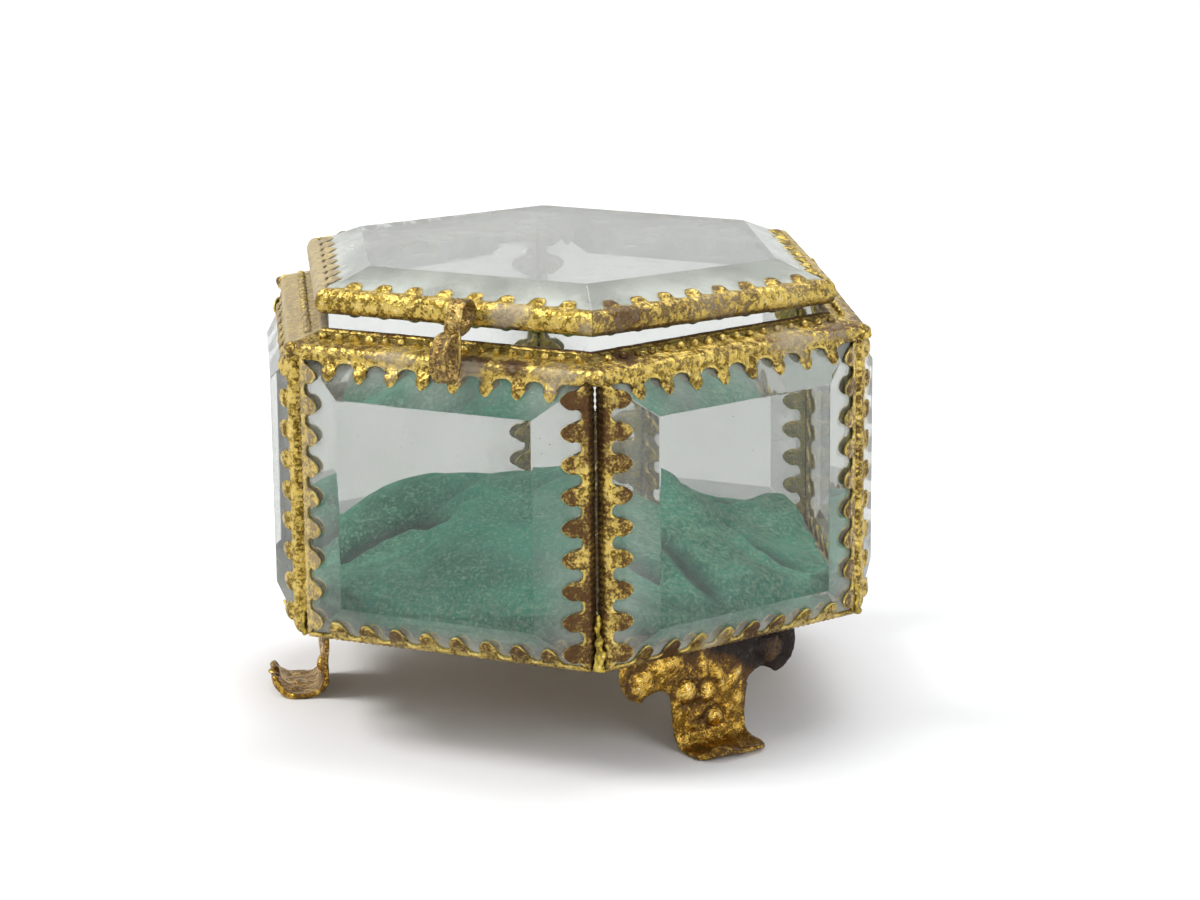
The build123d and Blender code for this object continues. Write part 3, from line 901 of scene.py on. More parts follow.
def cell(name, section, pitch, claw=None, ridge=0.0):
    """One pitch of a strip, as a mesh along x. With a claw it has one at each edge of the
    section, and the edge between two claws is a round hollow with a rolled lip. The claw is
    given as its root width, reach, scallop, lip, bulge and ridge height."""
    root, reach, scallop, lip, bulge, lines = claw or [0.0] * 6
    if root:
        side = np.linspace(-pitch / 2, -root / 2, VALLEY_COLUMNS + 1)
        turns = np.linspace(-math.pi / 2, math.pi / 2, CLAW_COLUMNS + 1)
        across = np.concatenate([side[:-1], np.sin(turns) * root / 2, -side[::-1][1:]])
    else:
        across = np.linspace(-pitch / 2, pitch / 2, max(2, round(pitch / (0.2 * MM))) + 1)
    points, faces = [], []
    numbers = {label: [] for label in ("hollow", "loose", "limit", "tarnish", "dusty")}
    last = len(section.rows) - 1

    def ripple(x):
        return 0.5 + 0.5 * math.cos(2 * math.pi * RIDGES * x / pitch) if root else 0.5

    def dip(x):
        if abs(x) <= root / 2:
            return scallop
        share = (pitch / 2 - abs(x)) / (pitch / 2 - root / 2)
        return scallop * (1 - math.sqrt(max(0.0, 1 - share * share)))

    def put(x, row, height, i, hollow, loose=0.0, limit=1.0):
        spot = row + section.normals[i] * height
        points.append((x, spot.x, spot.y))
        # The section's painted shade goes into the tarnish number.
        values = (hollow, loose, limit, section.painted_shade[i], section.dusted[i])
        for held, value in zip(numbers.values(), values):
            held.append(value)
        return len(points) - 1

    grid = []
    for i, row in enumerate(section.rows):
        clawed = root and i in (0, last)
        weight = section.ridged[i]
        line = []
        for x in across:
            spot = row + section.tangents[i] * (dip(x) if i else -dip(x)) if clawed else row
            rolled = lip if clawed and abs(x) > root / 2 else 0.0
            height = ridge * ripple(x) * weight + rolled
            # Patina darkens the grooves between the ridges; the rolled lip gets a painted
            # highlight.
            hollow = 0.45 * (1 - ripple(x)) * weight + (LIP_HIGHLIGHT if rolled else 0.0)
            line.append(put(x, spot, height, i, hollow, 0.0, section.limits[i]))
        grid.append(line)
    for low, high in zip(grid, grid[1:]):
        faces += band(low, high)
    shoulder = scallop + CLAW_SHOULDER * (reach - scallop)
    for i, sign in ((0, -1), (last, 1)) if root else ():
        away = section.tangents[i] * sign
        line = grid[i][VALLEY_COLUMNS : VALLEY_COLUMNS + CLAW_COLUMNS + 1]
        for k in range(1, CLAW_ROWS + 1):
            fresh = []
            for j in range(CLAW_COLUMNS + 1):
                a = math.sin(math.pi * (j / CLAW_COLUMNS - 0.5))
                tip = shoulder + (reach - shoulder) * (1 - abs(a) ** CLAW_BROAD) ** CLAW_FULL
                t = scallop + (tip - scallop) * math.sin(k / CLAW_ROWS * math.pi / 2)
                free = min(1.0, t / reach)
                fade = 1 - free**3
                swollen = bulge * (1 - a * a) * math.sin(math.pi * min(1.0, 0.15 + free * 0.85))
                line_up = 0.5 + 0.5 * math.cos(math.pi * LINES * a)
                hollow = 0.2 + 0.5 * (1 - line_up) * fade * min(1.0, lines / (0.1 * MM))
                # Painted highlight along the tip and the sides of the claw.
                if k == CLAW_ROWS or j in (0, CLAW_COLUMNS):
                    hollow = CLAW_RIM_HIGHLIGHT
                height = lines * line_up * fade + swollen
                spot = section.rows[i] + away * t
                fresh.append(put(a * root / 2, spot, height, i, hollow, free))
            faces += [quad if sign > 0 else quad[::-1] for quad in band(line, fresh)]
            line = fresh
    return mesh_object(name, points, faces, numbers)


def leg_start(edge, slope):
    """Where a channel's outer leg leaves its back, the leg's direction, and its far end."""
    sizes = bpy.context.scene.casket_sizes
    floor = 2 * sizes.fit_gap + edge + sizes.sheet
    run = Vector((math.cos(slope), math.sin(slope)))
    start = Vector((sizes.sheet, floor)) + Vector((-run.y, run.x)) * sizes.sheet / 2
    return start, run, start + run * ((sizes.leg - sizes.sheet) / math.cos(slope))


def upright_section(slope, half):
    """Section of a side channel: p over the glass and q outwards. Its back is ridged."""
    sizes = bpy.context.scene.casket_sizes
    sheet, leg = sizes.sheet, sizes.leg
    start, run, end = leg_start(PANE["edge"], slope)
    turn = start - run * ((start.x - sheet / 2) / run.x)
    corners = [(leg, sheet / 2), (sheet / 2, sheet / 2), tuple(turn), tuple(end)]
    return Section(
        filled(rounded(corners, (0.12 * MM, 0.7 * MM)), 0.45 * MM),
        lambda row: half - sizes.mitre_gap - min(max(row.x, 0.0), leg),
        lambda row: 1.0 if row.x < sheet * 0.6 else 0.0,
        # Painted shade on the web's wall next to the glass.
        lambda row: 0.2 if row.x < sheet * 0.6 and row.y < PANE["edge"] * 0.6 else 0.0,
    )


def lid_section(half):
    """Section of a lid channel, whose back swells out like half a tube."""
    sizes = bpy.context.scene.casket_sizes
    leg = sizes.leg + 0.3 * MM
    start, run, end = leg_start(LID_PANE["edge"], LID_SLOPE)
    end = end + run * 0.3 * MM
    corners = [
        (leg, sizes.sheet / 2),
        (0.05 * MM, 0.15 * MM),
        (-0.55 * MM, start.y * 0.55),
        (0.0, start.y + 0.15 * MM),
        tuple(end),
    ]
    return Section(
        filled(rounded(corners, (1.2 * MM, 2.4 * MM, 1.4 * MM), 6), 0.45 * MM),
        lambda row: half - sizes.mitre_gap - min(row.x, leg) * TAN_30,
        lambda row: 0.0,
        # Painted shade on the lower rows, under the swelling back.
        lambda row: 0.28 if row.y < 0.9 * MM else 0.0,
    )


def rim_section():
    """Section of the rim: p downwards from the top of the panels and q outwards.

    One sheet runs from the inner claws up inside the box, over the lip, down the beaded
    slope and the half-round moulding, and ends in the outer claws."""
    sizes = bpy.context.scene.casket_sizes
    sheet, leg = sizes.sheet, 0.9 * MM
    rise = RIM_TOP - (PANE["top"] + sizes.fit_gap + sheet)
    floor = 2 * sizes.fit_gap + PANE["edge"] + sheet
    run = Vector((math.cos(END_SLOPE), math.sin(END_SLOPE)))
    start = Vector((sheet, floor)) + Vector((-run.y, run.x)) * sheet / 2
    half = sheet / 2
    corners = [
        (leg, half),
        (-1.3 * MM, half),
        (half * 1.6 + 0.55 * MM - rise, -3.35 * MM),
        (half - rise, -3.45 * MM),
        (half - rise, -2.8 * MM),
        (half - rise + 0.35 * MM, -2.45 * MM),
        (-1.55 * MM, 1.45 * MM),
        (-1.25 * MM, 2.55 * MM),
        (-0.45 * MM, 2.85 * MM),
        (0.25 * MM, floor + 0.30 * MM),
        tuple(start + run * ((leg - sheet) / math.cos(END_SLOPE))),
    ]
    radii = [r * MM for r in (0.5, 0.3, 0.2, 0.2, 0.25, 0.15, 0.7, 0.6, 0.4)]
    rows = filled(rounded(corners, radii, 3), 0.5 * MM)
    frame_half = PANE["half"] + sizes.fit_gap + sheet

    def limit(row):
        if row.x > 0:
            return frame_half - sizes.mitre_gap - row.x
        return (BODY_APOTHEM + row.y) * TAN_30 - sizes.mitre_gap

    # Painted shade on the lip under the lid and in the groove of the moulding.
    def painted_shade(row):
        if row.y < -2.5 * MM:
            return 0.45
        return 0.2 if abs(row.x + 1.45 * MM) < 0.2 * MM else 0.0

    def dusted(row):
        return 0.2 if -1.2 * MM < row.x < -0.2 * MM else 0.0

    return Section(rows, limit, lambda row: 0.0, painted_shade, dusted)


def add_strip(node, section, row, claw, seed, place, finish, wear, body="casket", wavy=0.10):
    """Stamp the clawed strip of a CAD node, put it in its place and wear it. row is its number
    of claws, their pitch and the run of the whole strip. wavy is in millimetres."""
    sizes = bpy.context.scene.casket_sizes
    name = node + "_strip"
    claws, pitch, run = row
    end_length = max(0.2 * MM, (run - claws * pitch) / 2 + 0.35 * MM)
    clawed = cell(name + "_cell", section, pitch, claw, sizes.ridge)
    plain = cell(name + "_end", section, end_length, ridge=sizes.ridge)
    inputs = {
        "Claw cell": clawed,
        "Plain end": plain,
        "Claws": claws,
        "Pitch": pitch,
        "End length": end_length,
        "Waviness": wavy * MM,
        "Claw lift": 0.35 * MM,
        "Seed": seed,
        "Finish": material(finish),
    }
    piece = grow(name, "strip", inputs)
    for spare in (clawed, plain):
        bpy.data.meshes.remove(spare.data)
    modify(piece, "sheet", "SOLIDIFY", thickness=sizes.sheet, offset=0.0)
    piece.data.transform(place)
    age(piece, *WEAR.get(node, wear), MARKS.get(node, ()))
    finish_piece(piece, finish, body, "gilt_brass", node)


def build_side_channels():
    """The two uprights and the bottom channel of every face."""
    sizes = bpy.context.scene.casket_sizes
    around = sizes.fit_gap + sizes.sheet
    half_up = (PANE["top"] - PANE["bottom"]) / 2 + around
    half_across = PANE["half"] + around
    middle = (PANE["top"] + PANE["bottom"]) / 2
    upright = upright_section(SIDE_SLOPE, half_up)
    bottom = upright_section(END_SLOPE, half_across)
    claw = (sizes.claw_root, sizes.claw_reach, sizes.scallop, 0.14 * MM, 0.24 * MM, 0.07 * MM)
    seed = 0.0
    for face, angle in FACES.items():
        outward, along = face_dirs(angle)
        centre = outward * BODY_APOTHEM + UP * middle
        row = (sizes.claws_upright, sizes.upright_pitch, 2 * half_up)
        for end, side in ((-1, "left"), (1, "right")):
            seed += 1.7
            place = placing(UP * end, along * -end, outward, centre + along * end * half_across)
            node = f"{face}_upright_{side}"
            add_strip(node, upright, row, claw, seed, place, "side_brass", (0.08, 0.1))
        seed += 1.7
        row = (sizes.claws_across, sizes.bottom_pitch, 2 * half_across)
        place = placing(along, UP, outward, outward * BODY_APOTHEM + UP * BODY_BOTTOM)
        node = f"{face}_bottom_channel"
        add_strip(node, bottom, row, claw, seed, place, "side_brass", (0.15, 0.1))


def build_rim():
    """The rim of every face: lip, beaded slope, moulding and claws."""
    sizes = bpy.context.scene.casket_sizes
    section = rim_section()
    top = PANE["top"] + sizes.fit_gap + sizes.sheet
    row = (sizes.claws_across, sizes.rim_pitch, 2 * (BODY_APOTHEM + 3 * MM) * TAN_30)
    claw = (sizes.rim_claw_root, sizes.rim_claw_reach, 1.15 * MM, 0.28 * MM, 0.42 * MM, 0.03 * MM)
    wear = (0.1, 0.25)
    for order, (face, angle) in enumerate(FACES.items()):
        outward, along = face_dirs(angle)
        place = placing(-along, -UP, outward, outward * BODY_APOTHEM + UP * top)
        seed = 40 + order * 1.3
        add_strip(f"{face}_rim", section, row, claw, seed, place, "rim_brass", wear, wavy=0.2)


def build_beads():
    """The row of beads stamped along the slope of every rim."""
    sizes = bpy.context.scene.casket_sizes
    half_slope = RIM_TOP - 0.72 * MM
    for order, (face, angle) in enumerate(FACES.items()):
        outward, along = face_dirs(angle)
        inputs = {
            "Count": sizes.beads,
            "Pitch": sizes.bead_pitch,
            "Radius": sizes.bead_radius,
            "Seed": order,
            "Finish": material("rim_brass"),
        }
        piece = grow(f"{face}_rim_beads", "beads", inputs)
        spot = outward * (BODY_APOTHEM - 0.5 * MM) + UP * half_slope
        piece.data.transform(placing(along, UP.cross(along), UP, spot))
        age(piece, *WEAR.get(f"{face}_rim", (0.0, 0.2)), MARKS.get(f"{face}_rim", ()))
        finish_piece(piece, "rim_brass", "casket", "gilt_brass")


def build_lid_channels():
    """The six clawed channels that frame the lid's glass."""
    sizes = bpy.context.scene.casket_sizes
    around = sizes.fit_gap + sizes.sheet
    apothem = LID_PANE["apothem"] + around
    half = apothem * TAN_30
    section = lid_section(half)
    row = (sizes.claws_across, sizes.bottom_pitch, 2 * half)
    claw = (2.4 * MM, sizes.lid_claw_reach, 0.5 * MM, 0.1 * MM, 0.6 * MM, 0.0)
    wear = (0.15, 0.25)
    for order, (face, angle) in enumerate(FACES.items()):
        outward, along = face_dirs(angle)
        origin = outward * apothem + UP * (LID_PANE["under"] - around)
        place = LID_PLACE @ placing(along, -outward, UP, origin)
        node, seed = f"lid_{face}_channel", 70 + order * 1.9
        add_strip(node, section, row, claw, seed, place, "lid_brass", wear, "lid", 0.16)


# Even tarnish and dust of the strips that differ from their neighbours.
WEAR = {
    "front_upright_right": (0.42, 0.0),
    "front_right_upright_left": (0.38, 0.0),
    "front_upright_left": (0.12, 0.45),
    "front_left_upright_right": (0.0, 0.0),
    "front_bottom_channel": (0.20, 0.05),
    "front_right_bottom_channel": (0.22, 0.1),
    "front_right_upright_right": (0.34, 0.0),
    "back_right_upright_left": (0.15, 0.1),
    # The next four back uprights, seen through the glass in the shade inside the box, get less
    # tarnish and pale dust so that they look tan: dust, and painted light that lifts their shade.
    "back_upright_left": (-0.05, 0.5),
    "back_upright_right": (0.05, 0.5),
    "back_left_upright_left": (-0.05, 0.5),
    "back_left_upright_right": (-0.05, 0.5),
    "back_right_upright_right": (0.05, 0.3),
    "front_rim": (0.10, 0.05),
    "front_right_rim": (0.12, 0.0),
    "front_left_rim": (0.05, 0.6),
    "back_rim": (0.1, 0.7),
    "back_left_rim": (0.1, 0.7),
    "lid_front_channel": (0.04, 0.0),
    "lid_front_right_channel": (0.26, 0.2),
    "lid_front_left_channel": (0.1, 0.8),
}
# Marks of (place, radius, tarnish, dust), in millimetres.
MARKS = {
    "lid_front_channel": [
        ((8.5, -41.5, 72), 2.6, 0.25, 0.9),
        ((11.5, -41, 73), 2.2, 0.15, 0.8),
        ((23, -41, 71), 2.4, 0.2, 0.6),
        ((4, -41, 72), 2.2, -0.3, 0.0),
    ],
    "lid_front_right_channel": [
        ((28, -38, 70.5), 6, 0.3, 0.1),
        ((38, -22, 70.5), 6, 0.25, 0.3),
        ((45, -8, 70.5), 4, -0.1, 0.2),
    ],
    "front_rim": [
        ((5.2, -46, 65.3), 2.0, 0.9, 0.2),
        ((12.6, -46, 65.6), 2.0, 0.75, 0.1),
        ((5.5, -47, 63.4), 2.6, 0.1, 0.9),
        ((-8, -46, 64.5), 4.0, 0.0, 0.5),
        ((20, -46, 63.8), 4.0, 0.1, 0.5),
    ],
    "front_right_rim": [
        ((27.5, -38, 65.8), 2.2, 0.8, 0.1),
        ((44.5, -12, 65), 5.0, 0.1, 0.7),
        ((48.5, -4, 65), 4.0, 0.3, 0.4),
    ],
    "front_upright_right": [((23, -46, 24), 9, 0.2, 0.0), ((24.5, -46, 60), 4, 0.2, 0.0)],
    "front_right_upright_left": [((26, -46, 60), 4, 0.15, 0.0), ((27, -46, 40), 5, -0.12, 0.0)],
    "front_bottom_channel": [((14, -45, 19), 8, 0.2, 0.0), ((-8, -45, 19), 6, 0.12, 0.2)],
    "front_right_bottom_channel": [
        ((33, -35, 19), 5, 0.6, 0.0),
        ((42, -20, 19), 5, 0.5, 0.0),
        ((38, -28, 19), 3, 0.0, 0.8),
    ],
}


# ---------------------------------------------------------------- glass


# How dusty each kind of face of the glass is.
FILMS = {
    "lid": 0.16,
    "lid_bevel": 0.8,
    "inside": 0.03,
    "middle": 0.07,
    "upper_bevel": 0.42,
    "lower_bevel": 0.40,
    "side_bevel": 0.26,
}


def filmed(piece, outward):
    """Note how dusty each face is, and how near each point lies to the outer border of its
    bevel, where dust and old polish gather."""
    films = []
    for polygon in piece.data.polygons:
        facing = polygon.normal.dot(outward)
        if outward.z > 0.9:
            kind = "lid_bevel" if 0.2 < facing < 0.985 else "lid"
        elif facing < 0.2:
            kind = "inside"
        elif facing > 0.985:
            kind = "middle"
        elif abs(polygon.normal.z) > 0.2:
            kind = "upper_bevel" if polygon.normal.z > 0 else "lower_bevel"
        else:
            kind = "side_bevel"
        films.append(FILMS[kind])
    piece.data.attributes.new("film", "FLOAT", "FACE").data.foreach_set("value", films)
    depth = points_of(piece) @ np.array(outward)
    set_number(piece, "border", np.clip((depth.max() - depth) / (2.6 * MM), 0, 1))


def thin_top(piece, outward):
    """Grind a side pane thinner at its hidden top edge, so that its upper bevel is steeper
    and throws the eye down on the cushion."""
    points = points_of(piece)
    depth = points @ np.array(outward)
    outer = (points[:, 2] > PANE["top"] - 0.05 * MM) & (depth > PANE["inner"] + 0.5 * PANE["edge"])
    points[outer] -= np.array(outward) * 0.5 * MM
    set_points(piece, points)


def break_edges(piece, width, sharpest):
    """Bevel the edges that turn by more than that many degrees."""
    limit = {"limit_method": "ANGLE", "angle_limit": math.radians(sharpest)}
    modify(piece, "edges", "BEVEL", width=width, segments=2, **limit)


def build_glass():
    """The six side panels and the lid's glass, with ground arrises."""
    sizes = bpy.context.scene.casket_sizes
    jobs = [(f"{face}_glass", "casket", face_dirs(angle)[0]) for face, angle in FACES.items()]
    jobs.append(("lid_glass", "lid", LID_PLACE.to_3x3() @ UP))
    for node, body, outward in jobs:
        piece = cad_copy(node, node + "_bevelled")
        if body == "casket":
            thin_top(piece, outward)
        break_edges(piece, sizes.arris, 10)
        apply_modifiers(piece)
        filmed(piece, outward)
        shade(piece, False)
        finish_piece(piece, "glass", body, "bevelled_glass", node)


# ---------------------------------------------------------------- fittings


def lumpy(node, name, size, height, seed):
    """A copy of a CAD node, remeshed finely and roughened by hand-sized lumps."""
    piece = cad_copy(node, name, planar=False)
    fine = {"mode": "VOXEL", "voxel_size": 0.3 * MM, "use_smooth_shade": True}
    modify(piece, "fine", "REMESH", **fine)
    apply_modifiers(piece)
    modify(piece, "even", "SMOOTH", factor=0.5, iterations=3)
    apply_modifiers(piece)
    points = points_of(piece)
    lift = [noise.noise(Vector(p) / size + Vector((seed, 0, 0))) * height for p in points]
    set_points(piece, points + points_of(piece, "normal") * np.array(lift)[:, None])
    shade(piece)
    return piece


def build_solder():
    """Solder run into the foot of each corner, lumpy where it cooled."""
    piece = lumpy("corner_solder", "corner_solder_runs", 1.3 * MM, 0.8 * MM, 3.0)
    age(piece, 0.05, 0.1)
    finish_piece(piece, "solder", "casket", "gilt_brass", "corner_solder")


# The corner whose seam has broken away at its top, and the length that is gone.
BROKEN_SEAM, BROKEN_OFF = 5, 4.6 * MM


def build_seams():
    """A thread of bare solder down each corner, between the backs of two uprights. It has
    broken away near the top of the corner between the two front faces."""
    work = bmesh.new()
    sides, levels = 6, 90
    bottom, top = BODY_BOTTOM + 0.6 * MM, PANE["top"] - 0.2 * MM
    for corner in range(6):
        outward, along = face_dirs(60 * corner)
        upper = top - BROKEN_OFF if corner == BROKEN_SEAM else top
        rings = []
        for level in range(levels + 1):
            height = bottom + (upper - bottom) * level / levels
            wave = noise.noise(Vector((corner * 5.1, 0, height / (1.2 * MM))))
            centre = outward * (BODY_APOTHEM / COS_30 + (0.3 + 0.1 * wave) * MM)
            rings.append([])
            for k in range(sides):
                around = 2 * math.pi * k / sides
                out = outward * math.cos(around) + along * math.sin(around)
                spot = centre + out * (0.42 + 0.1 * wave) * MM + UP * height
                rings[-1].append(work.verts.new(spot))
        for low, high in zip(rings, rings[1:]):
            for quad in band(low, high, closed=True):
                work.faces.new(quad)
        work.faces.new(rings[0][::-1])
        work.faces.new(rings[-1])
    piece = from_bmesh("corner_seams", work)
    shade(piece)
    age(piece, 0.2, 0.0)
    finish_piece(piece, "bare_solder", "casket", "gilt_brass")


def build_corner_knobs():
    """The folded knob that closes the rim at each corner."""
    height = PANE["top"] + bpy.context.scene.casket_sizes.sheet + 0.5 * MM
    reach = (BODY_APOTHEM + 2.4 * MM) / COS_30
    work = bmesh.new()
    for corner in range(6):
        centre = face_dirs(60 * corner)[0] * reach + UP * height
        made = bmesh.ops.create_icosphere(work, subdivisions=4, radius=1.25 * MM)
        for vert in made["verts"]:
            bump = noise.noise(vert.co / (1.3 * MM) + Vector((corner * 7.3, 0, 0)))
            vert.co = centre + vert.co * (1 + 0.35 * bump)
    piece = from_bmesh("rim_corner_knobs", work)
    shade(piece)
    age(piece, 0.2, 0.15)
    finish_piece(piece, "rim_brass", "casket", "gilt_brass")


# Round bosses and dents of a foot, seen from outside: (right of its middle, below the
# base), radius and height, in millimetres.
FOOT_BOSSES = (
    ((-5.1, 8.0), 2.0, 1.1),
    ((0.8, 13.4), 1.5, 0.9),
    ((-0.6, 8.8), 1.6, 0.5),
    ((-6.7, 9.6), 0.7, 0.4),
    ((-2.9, 10.8), 1.3, -0.55),
    ((-1.9, 13.6), 0.7, -0.35),
    ((-13.6, 5.2), 2.2, 0.5),
    ((12.4, 4.0), 2.4, 0.5),
)
# Leaves, ribs and veins between them: place, half width, half height, turn in degrees and
# height.
FOOT_FORMS = (
    ((-9.0, 3.0), 4.6, 1.3, -14, 0.45),
    ((-10.6, 6.0), 2.4, 0.7, -40, 0.35),
    ((-1.6, 3.6), 0.7, 3.2, -10, 0.45),
    ((1.6, 6.6), 0.8, 3.0, -24, 0.50),
    ((5.0, 7.0), 0.8, 3.0, 36, 0.50),
    ((3.6, 4.2), 2.0, 0.6, 30, 0.40),
    ((8.2, 3.0), 3.4, 0.8, 30, 0.45),
    ((5.6, 11.2), 0.7, 2.8, 14, 0.35),
    ((-6.6, 12.2), 0.8, 2.4, -12, 0.35),
    ((3.4, 13.2), 0.6, 2.2, 30, 0.30),
    ((-4.0, 14.0), 2.2, 0.6, 20, 0.25),
)


# Where a foot's bracket ends and its toe begins to turn out, in millimetres below the base.
BRACKET_DEPTH, TOE_DEPTH, LEG_END = 3.0, 13.4, 15.2


def foot_relief(u, down):
    """Height of the stamping at u right of a foot's middle and down below the base."""
    relief = np.zeros(len(u))
    for (right, below), wide, tall, turn, height in FOOT_FORMS:
        turn = math.radians(turn)
        x = (u - right) * math.cos(turn) + (down - below) * math.sin(turn)
        y = -(u - right) * math.sin(turn) + (down - below) * math.cos(turn)
        relief = np.maximum(relief, height * np.exp(-((x / wide) ** 2) - (y / tall) ** 2))
    for (right, below), radius, height in FOOT_BOSSES:
        away = np.hypot(u - right, down - below) / radius
        domed = height * np.sqrt(np.clip(1 - away**2, 0, 1))
        relief = np.where(away < 1, domed + relief * (away > 0.9) * 0.5, relief)
        relief -= 0.25 * np.exp(-(((away - 1.25) / 0.2) ** 2)) * (height > 0)
    return relief


def build_feet():
    """The three stamped feet, with the relief of their stamping over leg and bracket, painted shade
    in its low places and on the sides, and painted highlights on its high bosses.
    """
    for face in FOOT_FACES:
        node = f"{face}_foot"
        piece = lumpy(node, node + "_stamped", 1.8 * MM, 0.2 * MM, 5.0)
        out, side = (np.array(way) for way in face_dirs(FACES[face]))
        points = points_of(piece)
        low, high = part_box(node)
        u = points @ side / MM - np.array(low + high) @ side / 2 / MM
        n = points @ out / MM
        down = (BODY_BOTTOM - points[:, 2]) / MM
        leg = np.max(n[down < BRACKET_DEPTH])
        facing = np.clip((n - leg + 0.8) / 0.5, 0, 1) * (down < LEG_END)
        flattened = -np.clip(n - leg, 0, None) * (down < TOE_DEPTH)
        relief = foot_relief(u, down)
        points = points + np.outer((relief * facing + flattened) * MM, out)
        past = np.clip((n - leg - 2.5) / 3.0, 0, 1)
        points[:, 2] *= 1 - FOOT_TOES.get(face, 0.0) * past * np.clip((u + 6.0) / 6.0, 0, 1)
        set_points(piece, points)
        # Painted shade and highlight: low relief and the sides that do not face out get hollow
        # numbers above 0, which darken them, and bosses higher than 0.35 mm get -0.3, which
        # brightens them.
        worn = np.where(relief > 0.35, -0.3, np.clip(0.75 - relief * 2.2, 0, 1))
        set_number(piece, "hollow", worn * facing + 0.35 * (1 - facing))
        age(piece, 0.02, 0.0, FOOT_MARKS.get(face, ()))
        finish_piece(piece, "foot_brass", "casket", "gilt_brass", node)


# How far a toe has been trodden flat, as a share of its height.
FOOT_TOES = {"front_right": 0.62}
# Marks of (place, radius, tarnish, dust), in millimetres.
FOOT_MARKS = {
    "front_right": [
        ((45, -10, 15.3), 11, 1.1, 0.0),
        ((33.2, -25.7, 17.3), 2.8, 0.9, 0.1),
        ((36.2, -20.5, 17.0), 3.2, 1.0, 0.1),
        ((39.2, -15.3, 16.5), 4.5, 1.0, 0.15),
    ],
}


def build_hinge():
    """The hinge's leaves and its pin, with their sharp edges broken."""
    for part, body in (("lower_leaf", "casket"), ("upper_leaf", "lid"), ("pin", "casket")):
        node = f"hinge_{part}"
        piece = cad_copy(node, node + "_worn")
        break_edges(piece, 0.1 * MM, 35)
        shade(piece, False)
        finish_piece(piece, "plain_brass", body, "gilt_brass", node)


def build_base():
    """The base sheet and the card on it keep their CAD shape and get their finish."""
    for node, finish in (("base_plate", "plain_brass"), ("cushion_board", "card")):
        piece = frame["nodes"][node]
        for slot in piece.material_slots:
            slot.link = "OBJECT"
            slot.material = material(finish)


# The strip's closed path as (out from the middle, height, right of the front's middle), in
# millimetres: over the top and down the front of the upper loop, down behind the ring, round
# the ring's foot, up its front, and under the loop to its back again.
PULL_PATH = (
    (43.8, 74.6, 3.0),
    (45.6, 74.2, 2.7),
    (46.7, 72.5, 2.8),
    (46.9, 70.6, 2.6),
    (47.1, 68.6, 2.8),
    (47.6, 66.8, 3.0),
    (48.2, 65.1, 3.1),
    (48.9, 63.9, 3.15),
    (49.9, 63.25, 3.05),
    (51.0, 63.6, 2.85),
    (51.75, 64.8, 2.65),
    (51.95, 66.4, 2.5),
    (51.65, 67.9, 2.5),
    (50.8, 69.2, 2.55),
    (49.2, 69.85, 2.5),
    (46.8, 69.85, 2.5),
    (44.2, 69.85, 2.3),
    (42.1, 70.6, 2.3),
    (41.5, 71.8, 2.5),
    (42.2, 73.6, 2.9),
)


def closed_curve(name, kind, dimensions, spots):
    """A closed curve through these spots, smooth if its kind is BEZIER."""
    data = bpy.data.curves.new(name, "CURVE")
    data.dimensions = dimensions
    line = data.splines.new(kind)
    held = line.bezier_points if kind == "BEZIER" else line.points
    held.add(len(spots) - 1)
    for point, spot in zip(held, spots):
        if kind == "BEZIER":
            point.co = spot
            point.handle_left_type = point.handle_right_type = "AUTO"
        else:
            point.co = (*spot, 0, 1)
    line.use_cyclic_u = True
    line.resolution_u = 12
    return linked(name, data)


def build_pull():
    """The pull: one reeded strip bent into a loop on the lid and a ring below it."""
    sizes = bpy.context.scene.casket_sizes
    outward, along = face_dirs(FACES["front"])
    spots = [(outward * out + along * right + UP * height) * MM for out, height, right in PULL_PATH]
    path = closed_curve("pull_path", "BEZIER", "3D", spots)
    half, thick, rib, rib_end = sizes.pull_width / 2, 0.32 * MM, 0.42 * MM, 0.9 * MM
    ring = []
    for side in (1, -1):
        for i in range(9):
            turn = side * math.pi / 2 - side * math.pi * i / 8
            ring.append((side * (half - rib) + rib * math.cos(turn), rib * math.sin(turn)))
        ring.append((side * (half - rib_end), -side * thick / 2))
        ring.append((-side * (half - rib_end), -side * thick / 2))
    section = closed_curve("pull_section", "POLY", "2D", ring)
    work = bmesh.new()
    bmesh.ops.create_uvsphere(work, u_segments=8, v_segments=5, radius=1.0)
    # A reed is a lens that lies askew across the strip.
    for vert in work.verts:
        x, y, z = vert.co
        vert.co = (x * (half - rib_end), y * 0.36 * MM, z * 0.24 * MM + x * 0.25 * MM)
    reed = from_bmesh("pull_reed", work)
    inputs = {
        "Path": path,
        "Section": section,
        "Reed": reed,
        "Across": tuple(along),
        "Pitch": sizes.reed_pitch,
        "Groove": half - 0.95 * MM,
        "Finish": material("pull_brass"),
    }
    piece = grow("pull_reeded", "reeded", inputs)
    for spare in (path, section, reed):
        bpy.data.objects.remove(spare)
    # The loop on the lid is rubbed bright. The ring below it is dull and dusty.
    points = points_of(piece) / MM
    loop = np.clip((points[:, 2] - 70.0) / 1.5, 0, 1)
    loop = loop * np.clip((points @ np.array(outward) - 45.0) / 0.8, 0, 1)
    grooved = numbers_of(piece, "hollow") * (1 - loop)
    set_number(piece, "hollow", grooved)
    set_number(piece, "tarnish", 0.26 - 0.3 * loop)
    set_number(piece, "dusty", 0.2 * (1 - loop) * (1 - grooved))
    finish_piece(piece, "pull_brass", "lid", "gilt_brass", "pull")


# ---------------------------------------------------------------- cushion


